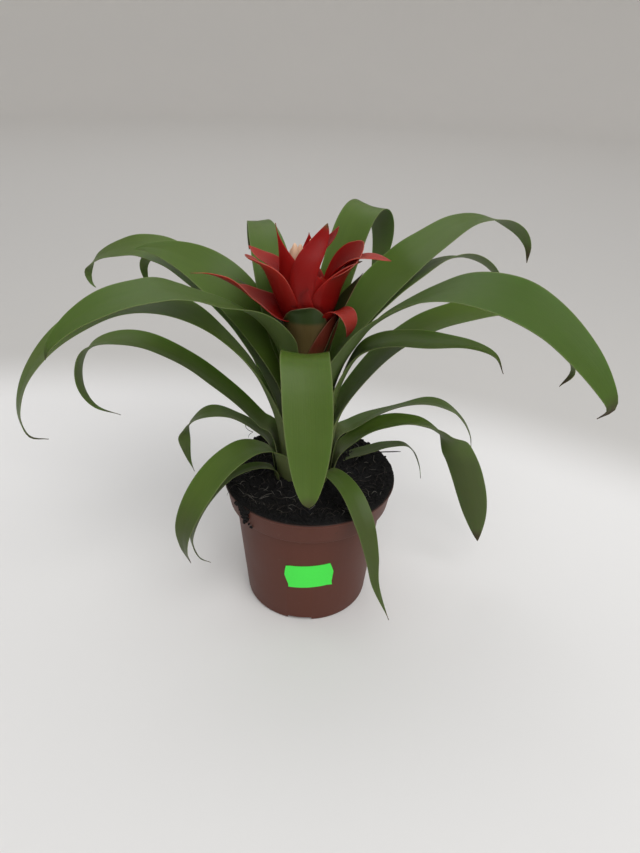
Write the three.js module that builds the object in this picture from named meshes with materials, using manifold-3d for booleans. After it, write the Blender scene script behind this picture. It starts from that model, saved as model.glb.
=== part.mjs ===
// A potted scarlet star: a small red-headed bromeliad in a 90 mm plastic nursery pot.
// Millimetres, +Z up. The origin is on the pot's axis, on the surface that the pot stands on.
// Azimuths are degrees anticlockwise from +X, seen from above. The front is at 270.
import * as THREE from "three";
import { mergeVertices } from "three/addons/utils/BufferGeometryUtils.js";
import Module from "manifold-3d";

const wasm = await Module();
wasm.setup();

// Sizes of the pot
const POT_HEIGHT = 75;
const RIM_RADIUS = 45;
const LIP = 1.4;
const COLLAR_FOOT = 61.5;
const COLLAR_RADIUS = 42.4;
const NECK_RADIUS = 39.3;
const FOOT_RADIUS = 33.4;
const FOOT_EDGE = 1.4;
const WALL = 1.0;
const FLOOR_UNDERSIDE = 2.6;
const FLOOR_TOP = 3.8;
const FOOT_RING_INNER = 28.5;
const PAD_RADIUS = 8;
const NOTCHES = 4;
const NOTCH_WIDTH = 13;
const NOTCH_HEIGHT = 2.2;
const DRAINS = 8;
const DRAIN_RADIUS = 2.4;
const DRAIN_CIRCLE = 19;
const POT_SIDES = 40;

// Sizes of the label
const LABEL_WIDTH = 26;
const LABEL_HEIGHT = 16;
const LABEL_THICKNESS = 0.4;
const LABEL_CENTRE = 34.8;
const LABEL_AZIMUTH = 273;
const LABEL_TILT = 5;

// Sizes of the soil and the stem. The plant stands a little left of the pot's axis.
const GAP = 0.3;
const PLANT_X = -3;
const SOIL_LEVEL = 72.2;
const SOIL_EDGE = 73.6;
const CROWN_HOLE_RADIUS = 18.2;
const CROWN_HOLE_FLOOR = 68.2;
const STOCK_RADIUS = 4.2;
const STOCK_FOOT = 48;
const STOCK_TOP = 92;
const STALK_RADIUS = 3.0;
const HEAD_BASE = 146;

// Sizes of the blades
const SHEATH_ROOT = 69;
const SHEATH_ARC = 85;
const SHEATH_STEP = 1.12;
const INNERMOST_SHEATH = 5.4;
const BLADE_THICKNESS = 0.75;
const EDGE_THICKNESS = 0.6;
const SLIVER = 0.03;

const COLOURS = {
  pot: 0x6b3a2e,
  soil: 0x1d1815,
  stem: 0x6f8a45,
  leaf: 0x4f6b31,
  redBract: 0xa8141a,
  stalkBract: 0x5a4425,
  floret: 0xe6c9a2,
  label: 0x55d63c,
};

const radians = THREE.MathUtils.degToRad;
const lerp = THREE.MathUtils.lerp;
const smooth = THREE.MathUtils.smoothstep;

function solid(geometry) {
  const g = geometry.index ? geometry.toNonIndexed() : geometry;
  const bare = new THREE.BufferGeometry().setAttribute("position", g.getAttribute("position"));
  const merged = mergeVertices(bare, 1e-4);
  return new wasm.Manifold(
    new wasm.Mesh({
      numProp: 3,
      vertProperties: new Float32Array(merged.attributes.position.array),
      triVerts: new Uint32Array(merged.index.array),
    }),
  );
}

function geometryOf(manifold) {
  const mesh = manifold.getMesh();
  const g = new THREE.BufferGeometry();
  g.setAttribute("position", new THREE.BufferAttribute(mesh.vertProperties, 3));
  g.setIndex(new THREE.BufferAttribute(mesh.triVerts, 1));
  g.computeVertexNormals();
  return g;
}

// One body out of several that overlap. Pockets closed in between them are filled.
function fused(geometries) {
  const bodies = wasm.Manifold.union(geometries.map(solid)).decompose();
  return bodies.sort((a, b) => b.volume() - a.volume())[0].simplify(SLIVER);
}

// Closed surface through a stack of rings that all have the same number of points.
function skin(rings, capFirst, capLast) {
  const positions = [];
  const triangle = (a, b, c) => positions.push(...a.toArray(), ...b.toArray(), ...c.toArray());
  const n = rings[0].length;
  for (let i = 0; i + 1 < rings.length; i++)
    for (let j = 0; j < n; j++) {
      const k = (j + 1) % n;
      triangle(rings[i][j], rings[i + 1][k], rings[i][k]);
      triangle(rings[i][j], rings[i + 1][j], rings[i + 1][k]);
    }
  capFirst(rings[0], (a, b, c) => triangle(a, b, c));
  capLast(rings[rings.length - 1], (a, b, c) => triangle(a, c, b));
  const g = new THREE.BufferGeometry();
  g.setAttribute("position", new THREE.Float32BufferAttribute(positions, 3));
  return g;
}

// Cap for a ring that runs over an upper face and back under it.
function folded(ring, triangle) {
  const n = ring.length;
  for (let j = 0; j + 1 < n / 2; j++) {
    triangle(ring[j], ring[j + 1], ring[n - 2 - j]);
    triangle(ring[j], ring[n - 2 - j], ring[n - 1 - j]);
  }
}

// Cap that joins a ring to its middle.
function fanned(ring, triangle) {
  const middle = new THREE.Vector3();
  for (const p of ring) middle.addScaledVector(p, 1 / ring.length);
  for (let j = 0; j < ring.length; j++) triangle(middle, ring[j], ring[(j + 1) % ring.length]);
}

// A profile of [radius, height] turned about the vertical axis.
function turned(profile, sides) {
  const points = profile.map(([r, z]) => new THREE.Vector2(r, z));
  return new THREE.LatheGeometry(points, sides).rotateX(Math.PI / 2);
}

const potted = new THREE.Group();

function add(name, geometry, colour, roughness) {
  const material = new THREE.MeshStandardMaterial({ color: colour, roughness, metalness: 0 });
  const mesh = new THREE.Mesh(geometry, material);
  mesh.name = name;
  potted.add(mesh);
}

// Pot: a turned shell with a stepped collar, a raised floor, notches in its foot and drain holes.
function potGeometry() {
  const profile = [
    [0, 0],
    [PAD_RADIUS, 0],
    [PAD_RADIUS + 1, FLOOR_UNDERSIDE],
    [FOOT_RING_INNER - 1, FLOOR_UNDERSIDE],
    [FOOT_RING_INNER, 0],
    [FOOT_RADIUS - FOOT_EDGE, 0],
    [FOOT_RADIUS - FOOT_EDGE * 0.3, FOOT_EDGE * 0.3],
    [FOOT_RADIUS, FOOT_EDGE],
    [NECK_RADIUS, COLLAR_FOOT],
    [COLLAR_RADIUS, COLLAR_FOOT + 0.6],
    [RIM_RADIUS - 0.7, POT_HEIGHT - LIP - 0.5],
    [RIM_RADIUS, POT_HEIGHT - LIP],
    [RIM_RADIUS, POT_HEIGHT],
    [RIM_RADIUS - 0.7 - WALL, POT_HEIGHT],
    [COLLAR_RADIUS - WALL, COLLAR_FOOT + 0.6 + WALL],
    [NECK_RADIUS - WALL, COLLAR_FOOT + WALL],
    [FOOT_RADIUS - WALL, FLOOR_TOP],
    [0, FLOOR_TOP],
  ];
  let pot = solid(turned(profile, POT_SIDES));
  for (let i = 0; i < NOTCHES; i++) {
    const notch = new THREE.BoxGeometry(NOTCH_WIDTH, 12, 2 * NOTCH_HEIGHT);
    notch.translate(0, -FOOT_RADIUS, 0).rotateZ((i * 2 * Math.PI) / NOTCHES - 0.08);
    pot = pot.subtract(solid(notch));
  }
  for (let i = 0; i < DRAINS; i++) {
    const angle = ((i + 0.5) * 2 * Math.PI) / DRAINS;
    const drain = new THREE.CylinderGeometry(DRAIN_RADIUS, DRAIN_RADIUS, 12, 8).rotateX(Math.PI / 2);
    drain.translate(DRAIN_CIRCLE * Math.cos(angle), DRAIN_CIRCLE * Math.sin(angle), FLOOR_TOP);
    pot = pot.subtract(solid(drain));
  }
  return geometryOf(pot);
}

// Label: a bare paper sticker with slightly pointed ends, curved round the front of the pot.
function labelGeometry() {
  const stations = [-1, -0.87, -0.6, -0.3, 0, 0.3, 0.6, 0.87, 1];
  const slope = (NECK_RADIUS - FOOT_RADIUS) / (COLLAR_FOOT - FOOT_EDGE);
  const tilt = radians(LABEL_TILT);
  const onWall = (along, up, lift) => {
    const x = along * Math.cos(tilt) - up * Math.sin(tilt);
    const z = LABEL_CENTRE + along * Math.sin(tilt) + up * Math.cos(tilt);
    const r = FOOT_RADIUS + slope * (z - FOOT_EDGE);
    const a = radians(LABEL_AZIMUTH) + x / r;
    return new THREE.Vector3((r + lift) * Math.cos(a), (r + lift) * Math.sin(a), z);
  };
  const rings = stations.map((s) => {
    const along = (s * LABEL_WIDTH) / 2;
    const half = Math.abs(s) === 1 ? 0.8 : LABEL_HEIGHT / 2;
    const outer = [-half, 0, half].map((up) => onWall(along, up, GAP + LABEL_THICKNESS));
    const inner = [half, 0, -half].map((up) => onWall(along, up, GAP));
    return [...outer, ...inner];
  });
  return skin(rings, folded, folded);
}

// Height of the soil at a place: a rough mound, heaped highest at the back right.
function soilHeight(x, y) {
  const lumps =
    0.7 * Math.sin(0.31 * x + 1.2) * Math.cos(0.27 * y - 0.4) + 0.5 * Math.sin(0.74 * x - 0.51 * y);
  const heapRight = 5.5 * Math.exp(-((x - 21) ** 2 + (y - 30) ** 2) / 130);
  const heapLeft = 3.5 * Math.exp(-((x + 27) ** 2 + (y - 24) ** 2) / 90);
  return SOIL_LEVEL + lumps + heapRight + heapLeft;
}

// Soil: a plug that fills the pot, with a heaped top and a plain hole for the crown.
function soilGeometry() {
  const around = 36;
  const ring = (radius, heightAt) =>
    Array.from({ length: around }, (_, i) => {
      const x = radius * Math.cos((2 * Math.PI * i) / around);
      const y = radius * Math.sin((2 * Math.PI * i) / around);
      return new THREE.Vector3(x, y, heightAt(x, y));
    });
  const rings = [
    ...[14, 20.5, 26, 32, 38].map((radius) => ring(radius, soilHeight)),
    ring(42.0, (x, y) => Math.max(SOIL_EDGE, soilHeight(x, y) - 1.5)),
    ring(COLLAR_RADIUS - WALL - GAP, () => COLLAR_FOOT + 0.6 + WALL + GAP),
    ring(NECK_RADIUS - WALL - GAP, () => COLLAR_FOOT + WALL + GAP),
    ring(FOOT_RADIUS - WALL - GAP, () => FLOOR_TOP + GAP),
  ];
  const hole = turned(
    [
      [0, STOCK_FOOT - GAP],
      [STOCK_RADIUS + GAP, STOCK_FOOT - GAP],
      [STOCK_RADIUS + GAP, CROWN_HOLE_FLOOR],
      [CROWN_HOLE_RADIUS, CROWN_HOLE_FLOOR],
      [CROWN_HOLE_RADIUS + 1, 90],
      [0, 90],
    ],
    28,
  ).translate(PLANT_X, 0, 0);
  return geometryOf(solid(skin(rings, fanned, fanned)).subtract(solid(hole)));
}

// Stem: the stock that stands in the soil, and the stalk that carries the flower head.
function stemGeometry() {
  const profile = [
    [0, STOCK_FOOT],
    [STOCK_RADIUS - 1, STOCK_FOOT],
    [STOCK_RADIUS, STOCK_FOOT + 2],
    [STOCK_RADIUS, STOCK_TOP - 8],
    [STALK_RADIUS, STOCK_TOP],
    [STALK_RADIUS, HEAD_BASE - GAP],
    [0, HEAD_BASE - GAP],
  ];
  return turned(profile, 20).translate(PLANT_X, 0, 0);
}

// Share of a blade's greatest width at a share t of its length.
function outline(t, { root = 0.8, broadest = 0.6, taper = 1 }) {
  if (t < broadest) return lerp(root, 1, smooth(t, 0.1 * broadest, broadest));
  return Math.cos(((t - broadest) / (1 - broadest)) * (Math.PI / 2)) ** taper;
}

// Value of an evenly spaced list of angles at a share t of the length.
function along(list, t) {
  const place = t * (list.length - 1);
  const i = Math.min(Math.floor(place), list.length - 2);
  return lerp(list[i], list[i + 1], smooth(place - i, 0, 1));
}

// A blade is a row of arched sections across a curved midrib. The spine lists [reach from the
// plant's axis, height, sway anticlockwise] in the upright plane at the azimuth. Close to the axis
// a section follows a circle round the stem, no wider than `arc`. Further out it bends by `cup` at
// the start of the blade and less towards the tip. `roll` turns the face about the midrib, and
// `thicken` makes the blade thicker, wider and longer by that much.
function bladeGeometry(blade) {
  const { azimuth, spine, width, roll = [0, 0], cup = 45, arc = SHEATH_ARC } = blade;
  const { steps = 18, across = 4, thicken = 0 } = blade;
  const a = radians(azimuth);
  const outwards = new THREE.Vector3(Math.cos(a), Math.sin(a), 0);
  const sideways = new THREE.Vector3(-Math.sin(a), Math.cos(a), 0);
  const points = spine.map(([reach, height, sway = 0]) =>
    new THREE.Vector3(0, 0, height).addScaledVector(outwards, reach).addScaledVector(sideways, sway),
  );
  const tip = points[points.length - 1];
  tip.addScaledVector(tip.clone().sub(points[points.length - 2]).normalize(), thicken);
  const midrib = new THREE.CatmullRomCurve3(points, false, "catmullrom", 0.5);
  midrib.arcLengthDivisions = 300;
  const rings = [];
  for (let i = 0; i <= steps; i++) {
    const t = i / steps;
    const centre = midrib.getPointAt(t);
    const tangent = midrib.getTangentAt(t);
    const side = sideways.clone().addScaledVector(tangent, -sideways.dot(tangent)).normalize();
    side.applyAxisAngle(tangent, radians(along(roll, t)));
    const face = new THREE.Vector3().crossVectors(tangent, side);
    const reach = Math.hypot(centre.x, centre.y);
    const span = Math.max(Math.min(width * outline(t, blade), reach * radians(arc)), 1.1) + thicken;
    const wrapped = span / reach;
    const bend = lerp(wrapped, radians(cup) * (1 - 0.6 * t), smooth(reach, 14, 34));
    const radius = span / bend;
    const ring = [];
    for (const over of [1, -1])
      for (let j = 0; j <= across; j++) {
        const u = over * ((2 * j) / across - 1);
        const angle = (u * bend) / 2;
        const up = face.clone().multiplyScalar(Math.cos(angle)).addScaledVector(side, -Math.sin(angle));
        const half = (lerp(BLADE_THICKNESS, EDGE_THICKNESS, u * u) + thicken) / 2;
        const middle = centre.clone().addScaledVector(face, radius).addScaledVector(up, -radius);
        ring.push(middle.addScaledVector(up, over * half));
      }
    rings.push(ring);
  }
  return skin(rings, folded, folded).translate(PLANT_X, 0, 0);
}

// Leaves, lowest and outermost first. Each sheath is seated outside those that it overlaps.
const LEAVES = [
  { name: "leaf_soil_right", azimuth: 20, width: 7.5, taper: 1.5, root: 0.5, broadest: 0.3, steps: 16,
    across: 2,
    spine: [[17.5, 74, 1.5], [21, 75.4, 4.5], [26, 76, 6.5], [31.5, 77, 6.5], [36, 78.6, 5],
      [40.4, 80.1, 4], [47, 82.5, 2], [56.5, 83], [61.7, 79.7], [65.4, 74.7], [69.3, 65], [71, 57]] },
  { name: "leaf_soil_left", azimuth: 207, width: 7.5, taper: 1.3, steps: 15, across: 2,
    spine: [[16.6, 80.5], [22, 84.8], [30, 86.2], [41, 83.7], [52, 74.5], [60, 62], [63, 49], [60, 37],
      [54, 31]] },
  { name: "leaf_low_front_right", azimuth: 304, width: 11, taper: 1.2, broadest: 0.45, steps: 15, across: 2,
    spine: [[16.5, 82], [21.5, 88], [32.5, 90], [44, 87], [55, 77], [62, 63], [67, 48], [79, 36]] },
  { name: "leaf_low_back", azimuth: 96, width: 18, taper: 1.1, steps: 16,
    spine: [[18.5, 98], [30, 116], [46, 130], [64, 136], [80, 131], [91, 118], [95, 103]] },
  { name: "leaf_low_left", azimuth: 172, width: 11, taper: 1.3, steps: 15, across: 2,
    roll: [0, 0, 5, 10, -10, 5, 70, 80],
    spine: [[18, 91], [27, 100], [40, 105.5], [51, 105.5], [60, 99], [65, 90], [64, 77], [61, 67]] },
  { name: "leaf_low_front_left", azimuth: 224, width: 17, taper: 0.9,
    spine: [[16.5, 90], [25, 100], [38, 105], [53, 101], [66, 91], [75, 77], [76, 65], [73, 54]] },
  { name: "leaf_broad_right", azimuth: 5, width: 17, taper: 0.8, broadest: 0.75, cup: 80,
    roll: [0, 0, 0, 0, -8, -22, -72, -80, -80, -80, -80],
    spine: [[18, 87], [26, 96], [37, 103], [52, 105.5], [66, 101.5], [78, 91], [87, 76], [93, 60],
      [98, 43], [102, 25]] },
  { name: "leaf_low_right", azimuth: 18, width: 13, taper: 1.0, steps: 16,
    roll: [0, 0, -26, 8, 20],
    spine: [[16.5, 95], [26, 101], [40, 106], [56, 108.5], [70, 108], [82, 103], [91, 94], [97, 84],
      [99, 76]] },
  { name: "leaf_mid_left", azimuth: 174, width: 18, cup: 80, taper: 1.4,
    spine: [[16.6, 98], [24, 104.5], [39, 118.5], [57, 132], [77, 141.5], [95, 143], [109, 138],
      [116, 127], [117, 114], [111, 104], [98, 100]] },
  { name: "leaf_right", azimuth: 5, width: 25, taper: 0.9,
    spine: [[15.5, 103], [22, 122], [36, 142.5], [52, 156], [70, 164], [90, 168], [110, 162],
      [125, 148], [134, 135], [129, 126]] },
  { name: "leaf_back_left", azimuth: 144, width: 15.5, taper: 0.9, steps: 16,
    roll: [0, 0, 12, 20, 20],
    spine: [[15, 101], [23, 123], [38, 144], [59, 162], [77, 170.5], [93, 173], [105, 171],
      [112.5, 166], [115, 161], [114, 155], [113, 149]] },
  { name: "leaf_long_left", azimuth: 198, width: 21, taper: 1.0,
    roll: [0, 0, -3, -11, -8, -11, -15],
    spine: [[13.4, 100], [18.5, 120], [27, 139], [40, 156], [56, 170], [76, 176], [98, 170.5],
      [115, 159.5], [126.5, 145], [132, 129], [130, 117], [122, 114]] },
  { name: "leaf_left_under", azimuth: 151, width: 21, taper: 0.9,
    roll: [0, 0, 0, -4, -8, -10, -12, -20, -28, -30, 60],
    spine: [[12, 105], [19, 127], [33, 148], [50, 162.5], [68, 173], [89.5, 179], [106, 178],
      [121.8, 173], [133, 167.5], [139.5, 162], [143, 156], [141.5, 151], [138.4, 148.9]] },
  { name: "leaf_mid_right", azimuth: 345, width: 16, cup: 110, taper: 1.0, steps: 16,
    roll: [0, 0, 10, 10],
    spine: [[14, 110], [17.5, 130], [25, 147], [34, 154], [46, 157.5], [62, 159.5], [76, 160],
      [87, 157], [92, 149]] },
  { name: "leaf_slender_right", azimuth: 27, width: 17, taper: 1.2, steps: 16,
    roll: [0, 0, 0, -20, 20],
    spine: [[12, 110], [15.6, 132], [26, 153], [41, 167], [56, 176], [72, 182], [87, 182.5], [101, 177],
      [113, 166], [119, 156], [115, 148]] },
  { name: "leaf_high_left", azimuth: 160, width: 25, taper: 0.9, steps: 16,
    roll: [0, -3, -14, -32, -28],
    spine: [[10.4, 115], [16.5, 137], [26, 153.5], [38, 168], [54, 179], [70, 184], [84, 184.5],
      [93, 182.5]] },
  { name: "leaf_long_right", azimuth: 330, width: 25, taper: 0.75, broadest: 0.65,
    roll: [0, 0, 0, 22, 28],
    spine: [[10.8, 115], [16.6, 137], [24, 152.5], [34, 167], [50, 180], [70, 191], [90, 192.5],
      [108, 187], [124, 176], [134, 165.5], [138, 158], [134, 152]] },
  { name: "leaf_front", azimuth: 270, width: 22, taper: 0.5, broadest: 0.72, steps: 16,
    spine: [[8.7, 115], [12.8, 137], [23, 153.5], [35, 158], [45, 149, 1.5], [54, 130, 3],
      [61, 113, 3.6], [66, 102, 4]] },
  { name: "leaf_broad_left", azimuth: 209, width: 25, taper: 0.8,
    roll: [0, 0, 0, 10, 12, 2, -8, -18, -20],
    spine: [[7.5, 115], [11.2, 140], [18.5, 158], [30, 170], [48, 177.5], [58, 182], [70, 185.5],
      [88, 184], [104, 178], [114.5, 169.5], [117, 163.5]] },
  { name: "leaf_high_right", azimuth: 32, width: 25, taper: 0.9, broadest: 0.5,
    roll: [0, 0, 8, 0, -35],
    spine: [[9.1, 112], [12, 130], [19.5, 148.5], [31, 163.5], [48, 177.5], [66, 188.5], [88, 197.5],
      [110, 197], [128, 189.5], [138, 180], [140, 170]] },
  { name: "leaf_back", azimuth: 113, width: 23, taper: 0.8, broadest: 0.4,
    spine: [[8.2, 112], [12.8, 136, 2], [21, 157, 5], [32, 174, 6], [45, 184.5, 5], [60, 189.5, 3],
      [74, 189, 1], [86, 181], [94, 168]] },
  { name: "leaf_back_right", azimuth: 57, width: 19, taper: 0.8, broadest: 0.72, steps: 16,
    roll: [0, 0, 5, 12],
    spine: [[7.3, 115], [10.4, 140], [18, 163], [27, 182], [36, 197], [45, 204], [54, 204], [62, 197],
      [66, 185], [63, 172], [57, 162]] },
];

function seatLeaves() {
  for (let i = LEAVES.length - 1; i >= 0; i--) {
    let seat = INNERMOST_SHEATH;
    for (const inner of LEAVES.slice(i + 1)) {
      const apart = Math.abs(((LEAVES[i].azimuth - inner.azimuth + 540) % 360) - 180);
      if (apart < SHEATH_ARC + 4) seat = Math.max(seat, inner.seat + SHEATH_STEP);
    }
    LEAVES[i].seat = seat;
  }
}

// Stalk bracts: brown-green blades that wrap the stalk below the head, joined by a ring at the foot.
// Thickened, they are what the red bracts are cut clear of.
function stalkBracts(thicken) {
  const bracts = [
    { azimuth: 264, width: 23, taper: 0.5, broadest: 0.75, steps: 9, across: 4,
      spine: [[4.1, 118], [7.2, 131], [9.8, 146], [11.8, 156], [14.2, 165], [16, 171, -1],
        [18, 173.5, -2.5]] },
    { azimuth: 205, width: 16, taper: 0.9,
      spine: [[4.1, 118], [6.6, 131], [9, 145], [10.5, 153], [13, 160]] },
    { azimuth: 322, width: 18, taper: 0.6,
      spine: [[4.1, 118], [7, 131], [10, 146], [13, 156], [15.3, 164.5]] },
    { azimuth: 35, width: 18, taper: 0.9,
      spine: [[4.1, 118], [6.8, 131], [9, 146], [10.5, 156], [13, 164]] },
    { azimuth: 110, width: 20, taper: 0.9,
      spine: [[4.1, 118], [6.8, 131], [9, 146], [10.5, 156], [13.5, 164]] },
    { azimuth: 343, width: 14, taper: 1.1, roll: [0, 0, 25, 30, 25],
      spine: [[4.1, 120], [7.5, 138], [11, 154], [15, 168], [19.5, 178], [25, 187.5]] },
    { azimuth: 172, width: 12, taper: 1.2,
      spine: [[4.1, 120], [7, 138], [10, 152], [17, 165], [26, 173], [34, 179]] },
  ];
  const bore = STALK_RADIUS + 2 * GAP;
  const profile = [[bore, 116], [4.9, 116], [5.4, 121], [bore, 121], [bore, 116]];
  const ring = turned(profile, 20).translate(PLANT_X, 0, 0);
  const blades = bracts.map((bract) =>
    bladeGeometry({ arc: 120, cup: 70, root: 0.6, steps: 7, across: 3, thicken, ...bract }),
  );
  return fused([ring, ...blades]);
}

// Red bracts: the layered head, each blade growing out of a small core.
function redBracts() {
  const bracts = [
    { azimuth: 196, width: 21, taper: 2.2, broadest: 0.25, roll: [0, -15, -5, 30, 35], steps: 9,
      spine: [[4, 157], [9.5, 162], [17, 167.5], [25, 174], [32.5, 179.5], [39, 184], [46, 186.5],
        [53, 187]] },
    { azimuth: 165, width: 14, taper: 0.8,
      spine: [[4, 166], [9, 178], [14, 184], [19, 187.5], [24, 190], [29, 193.5]] },
    { azimuth: 214, width: 22, taper: 0.3, broadest: 0.5, steps: 9,
      spine: [[4, 155], [10, 162], [14, 170], [17, 178], [20, 185.5], [23.5, 190.5], [27.5, 193.5],
        [31, 195.5]] },
    { azimuth: 235, width: 23, cup: 90, taper: 2.1, broadest: 0.33, steps: 9,
      spine: [[4, 155, 0], [9.5, 162, 0], [13.6, 170, 0], [15, 178, 0], [14.2, 185, -0.6],
        [13.3, 191, -2.6], [12.9, 198, -5.8], [12.9, 203, -7.8], [12.9, 207.5, -9]] },
    { azimuth: 268, width: 11.5, cup: 90, taper: 0.75, broadest: 0.62, steps: 9,
      spine: [[4, 157, -2], [10.3, 162, -2], [13.8, 170, -2], [14.8, 179, -2.2], [14.2, 187, -1.6],
        [12.4, 193.5, 0.4], [9.9, 198, 3], [8, 201.5, 5.1], [7, 205, 6.7], [6.4, 208.5, 7.8]] },
    { azimuth: 262, width: 23, cup: 90, taper: 0.5, broadest: 0.7,
      spine: [[4, 155], [9.5, 162], [12.8, 170], [13.8, 178], [13.4, 184], [12.6, 189]] },
    { azimuth: 20, width: 12, taper: 0.8, broadest: 0.5,
      spine: [[3, 172], [3, 187], [4.4, 191.5], [7.2, 195.5], [10.4, 199.5], [13.5, 204.5]] },
    { azimuth: 343, width: 25, taper: 0.6, broadest: 0.65, roll: [0, 15, 30],
      spine: [[4, 160], [9, 169.5], [11.5, 178], [14.8, 185.5], [18.8, 191.5], [22.3, 196.5],
        [24.6, 201.3]] },
    { azimuth: 328, width: 26, taper: 0.9, broadest: 0.45,
      spine: [[4, 155], [9.8, 163], [13, 171], [15.2, 179], [18.6, 187], [22.4, 192], [27, 195]] },
    { azimuth: 334, width: 9, taper: 0.9, broadest: 0.7,
      spine: [[6, 176], [12, 185], [18, 191.5], [24, 195.3], [31, 196.5], [39, 196.4]] },
    { azimuth: 316, width: 11, taper: 0.9, steps: 9,
      spine: [[4, 155], [10, 161], [14, 167], [18.5, 171.5], [23.5, 172], [26.5, 169], [26.6, 165],
        [25, 161]] },
    { azimuth: 300, width: 20, taper: 0.8, broadest: 0.5,
      spine: [[4, 156], [9.5, 162], [12.6, 170], [13, 178], [11, 186]] },
    { azimuth: 90, width: 15, spine: [[4, 158], [11, 169], [17, 178], [24, 183]] },
    { azimuth: 118, width: 14, spine: [[4, 158], [11, 169], [19, 178], [28, 182], [36, 181]] },
    { azimuth: 55, width: 14, spine: [[4, 158], [11, 168], [16, 175], [21, 180]] },
    { azimuth: 62, width: 9, taper: 1.2, spine: [[3, 172], [3.4, 184, 1], [3.8, 193, 2], [4.4, 201, 3]] },
  ];
  const profile = [
    [0, HEAD_BASE],
    [3.4, HEAD_BASE],
    [5.8, 156],
    [7.4, 168],
    [6.4, 180],
    [3.8, 187],
    [0, 187],
  ];
  const core = turned(profile, 20).translate(PLANT_X, 0, 0);
  const blades = bracts.map((bract) =>
    bladeGeometry({ arc: 120, cup: 70, root: 0.7, steps: 6, across: 2, ...bract }),
  );
  return fused([core, ...blades]).subtract(stalkBracts(3 * GAP));
}

// Floret tips: pale buds that stand in the middle of the head.
function floretTipsGeometry() {
  const buds = [
    [-6.6, -1, 198, 2.5],
    [-4.2, 1.2, 197, 2.3],
    [-8, 2, 195, 1.9],
    [-1, 0.8, 199, 1.4],
  ];
  const foot = new THREE.SphereGeometry(4.6, 12, 6).scale(1, 0.7, 0.6).translate(PLANT_X - 4, 0, 190.4);
  const tips = buds.map(([x, y, z, r]) => {
    const tip = new THREE.SphereGeometry(r, 8, 6).rotateX(Math.PI / 2).scale(1, 1, (z - 187) / (2 * r));
    return tip.translate(PLANT_X + x, y, (z + 187) / 2);
  });
  return geometryOf(fused([foot, ...tips]));
}

add("pot", potGeometry(), COLOURS.pot, 0.6);
add("label", labelGeometry(), COLOURS.label, 0.7);
add("soil", soilGeometry(), COLOURS.soil, 0.95);
add("stem", stemGeometry(), COLOURS.stem, 0.6);
seatLeaves();
for (const leaf of LEAVES) {
  const spine = [[leaf.seat, SHEATH_ROOT], ...leaf.spine];
  add(leaf.name, bladeGeometry({ ...leaf, spine }), COLOURS.leaf, 0.45);
}
add("stalk_bracts", geometryOf(stalkBracts(0)), COLOURS.stalkBract, 0.55);
add("red_bracts", geometryOf(redBracts()), COLOURS.redBract, 0.45);
add("floret_tips", floretTipsGeometry(), COLOURS.floret, 0.6);

export default potted;
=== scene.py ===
# A potted scarlet star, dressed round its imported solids.
# Metres, +Z up, in the solids' own frame. The front of the plant faces -Y. The shapes from the soil
# to the florets are worked out in millimetres, and scaled as their meshes are made.
import math

import bpy
import numpy as np
from mathutils import Matrix, Vector


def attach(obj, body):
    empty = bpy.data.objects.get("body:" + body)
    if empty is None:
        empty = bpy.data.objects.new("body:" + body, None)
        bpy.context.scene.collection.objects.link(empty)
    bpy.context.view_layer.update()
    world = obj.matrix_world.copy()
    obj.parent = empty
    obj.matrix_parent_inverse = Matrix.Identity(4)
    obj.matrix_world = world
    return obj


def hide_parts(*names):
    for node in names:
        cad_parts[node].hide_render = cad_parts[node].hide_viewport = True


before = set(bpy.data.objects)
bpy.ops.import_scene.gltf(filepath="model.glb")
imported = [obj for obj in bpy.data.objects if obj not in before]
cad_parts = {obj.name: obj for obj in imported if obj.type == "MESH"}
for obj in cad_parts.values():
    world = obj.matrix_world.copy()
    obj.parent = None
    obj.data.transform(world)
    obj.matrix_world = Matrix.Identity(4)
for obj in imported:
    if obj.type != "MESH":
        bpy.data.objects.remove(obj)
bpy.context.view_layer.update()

MM = 0.001

# Camera
# The plant is seen from above its front, from about arm's length, through the lens of a phone.
# The camera leans a little to the right, and its lens gives the long side the photo's view.
PHOTO_HEIGHT_PIXELS = 853
FOCAL_PIXELS = 690
CAMERA_LEAN = math.radians(2.18)
camera_place = Vector((4.6, -302.9, 285.0)) * MM
camera_aim = Vector((4.6, 0, 103.7)) * MM

lens = bpy.data.cameras.new("lens")
lens.sensor_width = 36
lens.lens = lens.sensor_width * FOCAL_PIXELS / PHOTO_HEIGHT_PIXELS
lens.clip_start = 0.01
camera = bpy.data.objects.new("camera", lens)
camera.location = camera_place
looking = (camera_aim - camera_place).to_track_quat("-Z", "Y").to_matrix()
camera.rotation_euler = (looking @ Matrix.Rotation(CAMERA_LEAN, 3, "Z")).to_euler()
bpy.context.scene.collection.objects.link(camera)
bpy.context.scene.camera = camera

# Pot
# A 90 mm nursery pot, thin brown polypropylene formed in a mould. Stacked pots hang by its stepped
# collar, and drain holes in its raised floor and four notches in its foot let the water out.
POT_HEIGHT = 75 * MM
RIM_RADIUS = 45 * MM
COLLAR_FOOT = 61.5 * MM
COLLAR_RADIUS = 42.4 * MM
NECK_RADIUS = 39.3 * MM
FOOT_RADIUS = 33.4 * MM
WALL = 1.0 * MM
FLOOR_UNDERSIDE = 2.6 * MM
FLOOR_TOP = 3.8 * MM
PAD_RADIUS = 8 * MM
FOOT_RING_INNER = 28.5 * MM
POT_SIDES = 192
NOTCHES = 4
NOTCH_SIZE = (13 * MM, 12 * MM, 4.4 * MM)
NOTCH_TURN = -0.08
DRAINS = 8
DRAIN_RADIUS = 2.4 * MM
DRAIN_CIRCLE = 19 * MM
DRILL_REACH = (1 * MM, 6 * MM)
PLASTIC_BROWNS = (0.094, 0.027, 0.016), (0.118, 0.036, 0.022)
FLOW_BROWN = (0.080, 0.024, 0.014)
SCUFF_TAN = (0.34, 0.21, 0.17)
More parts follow.
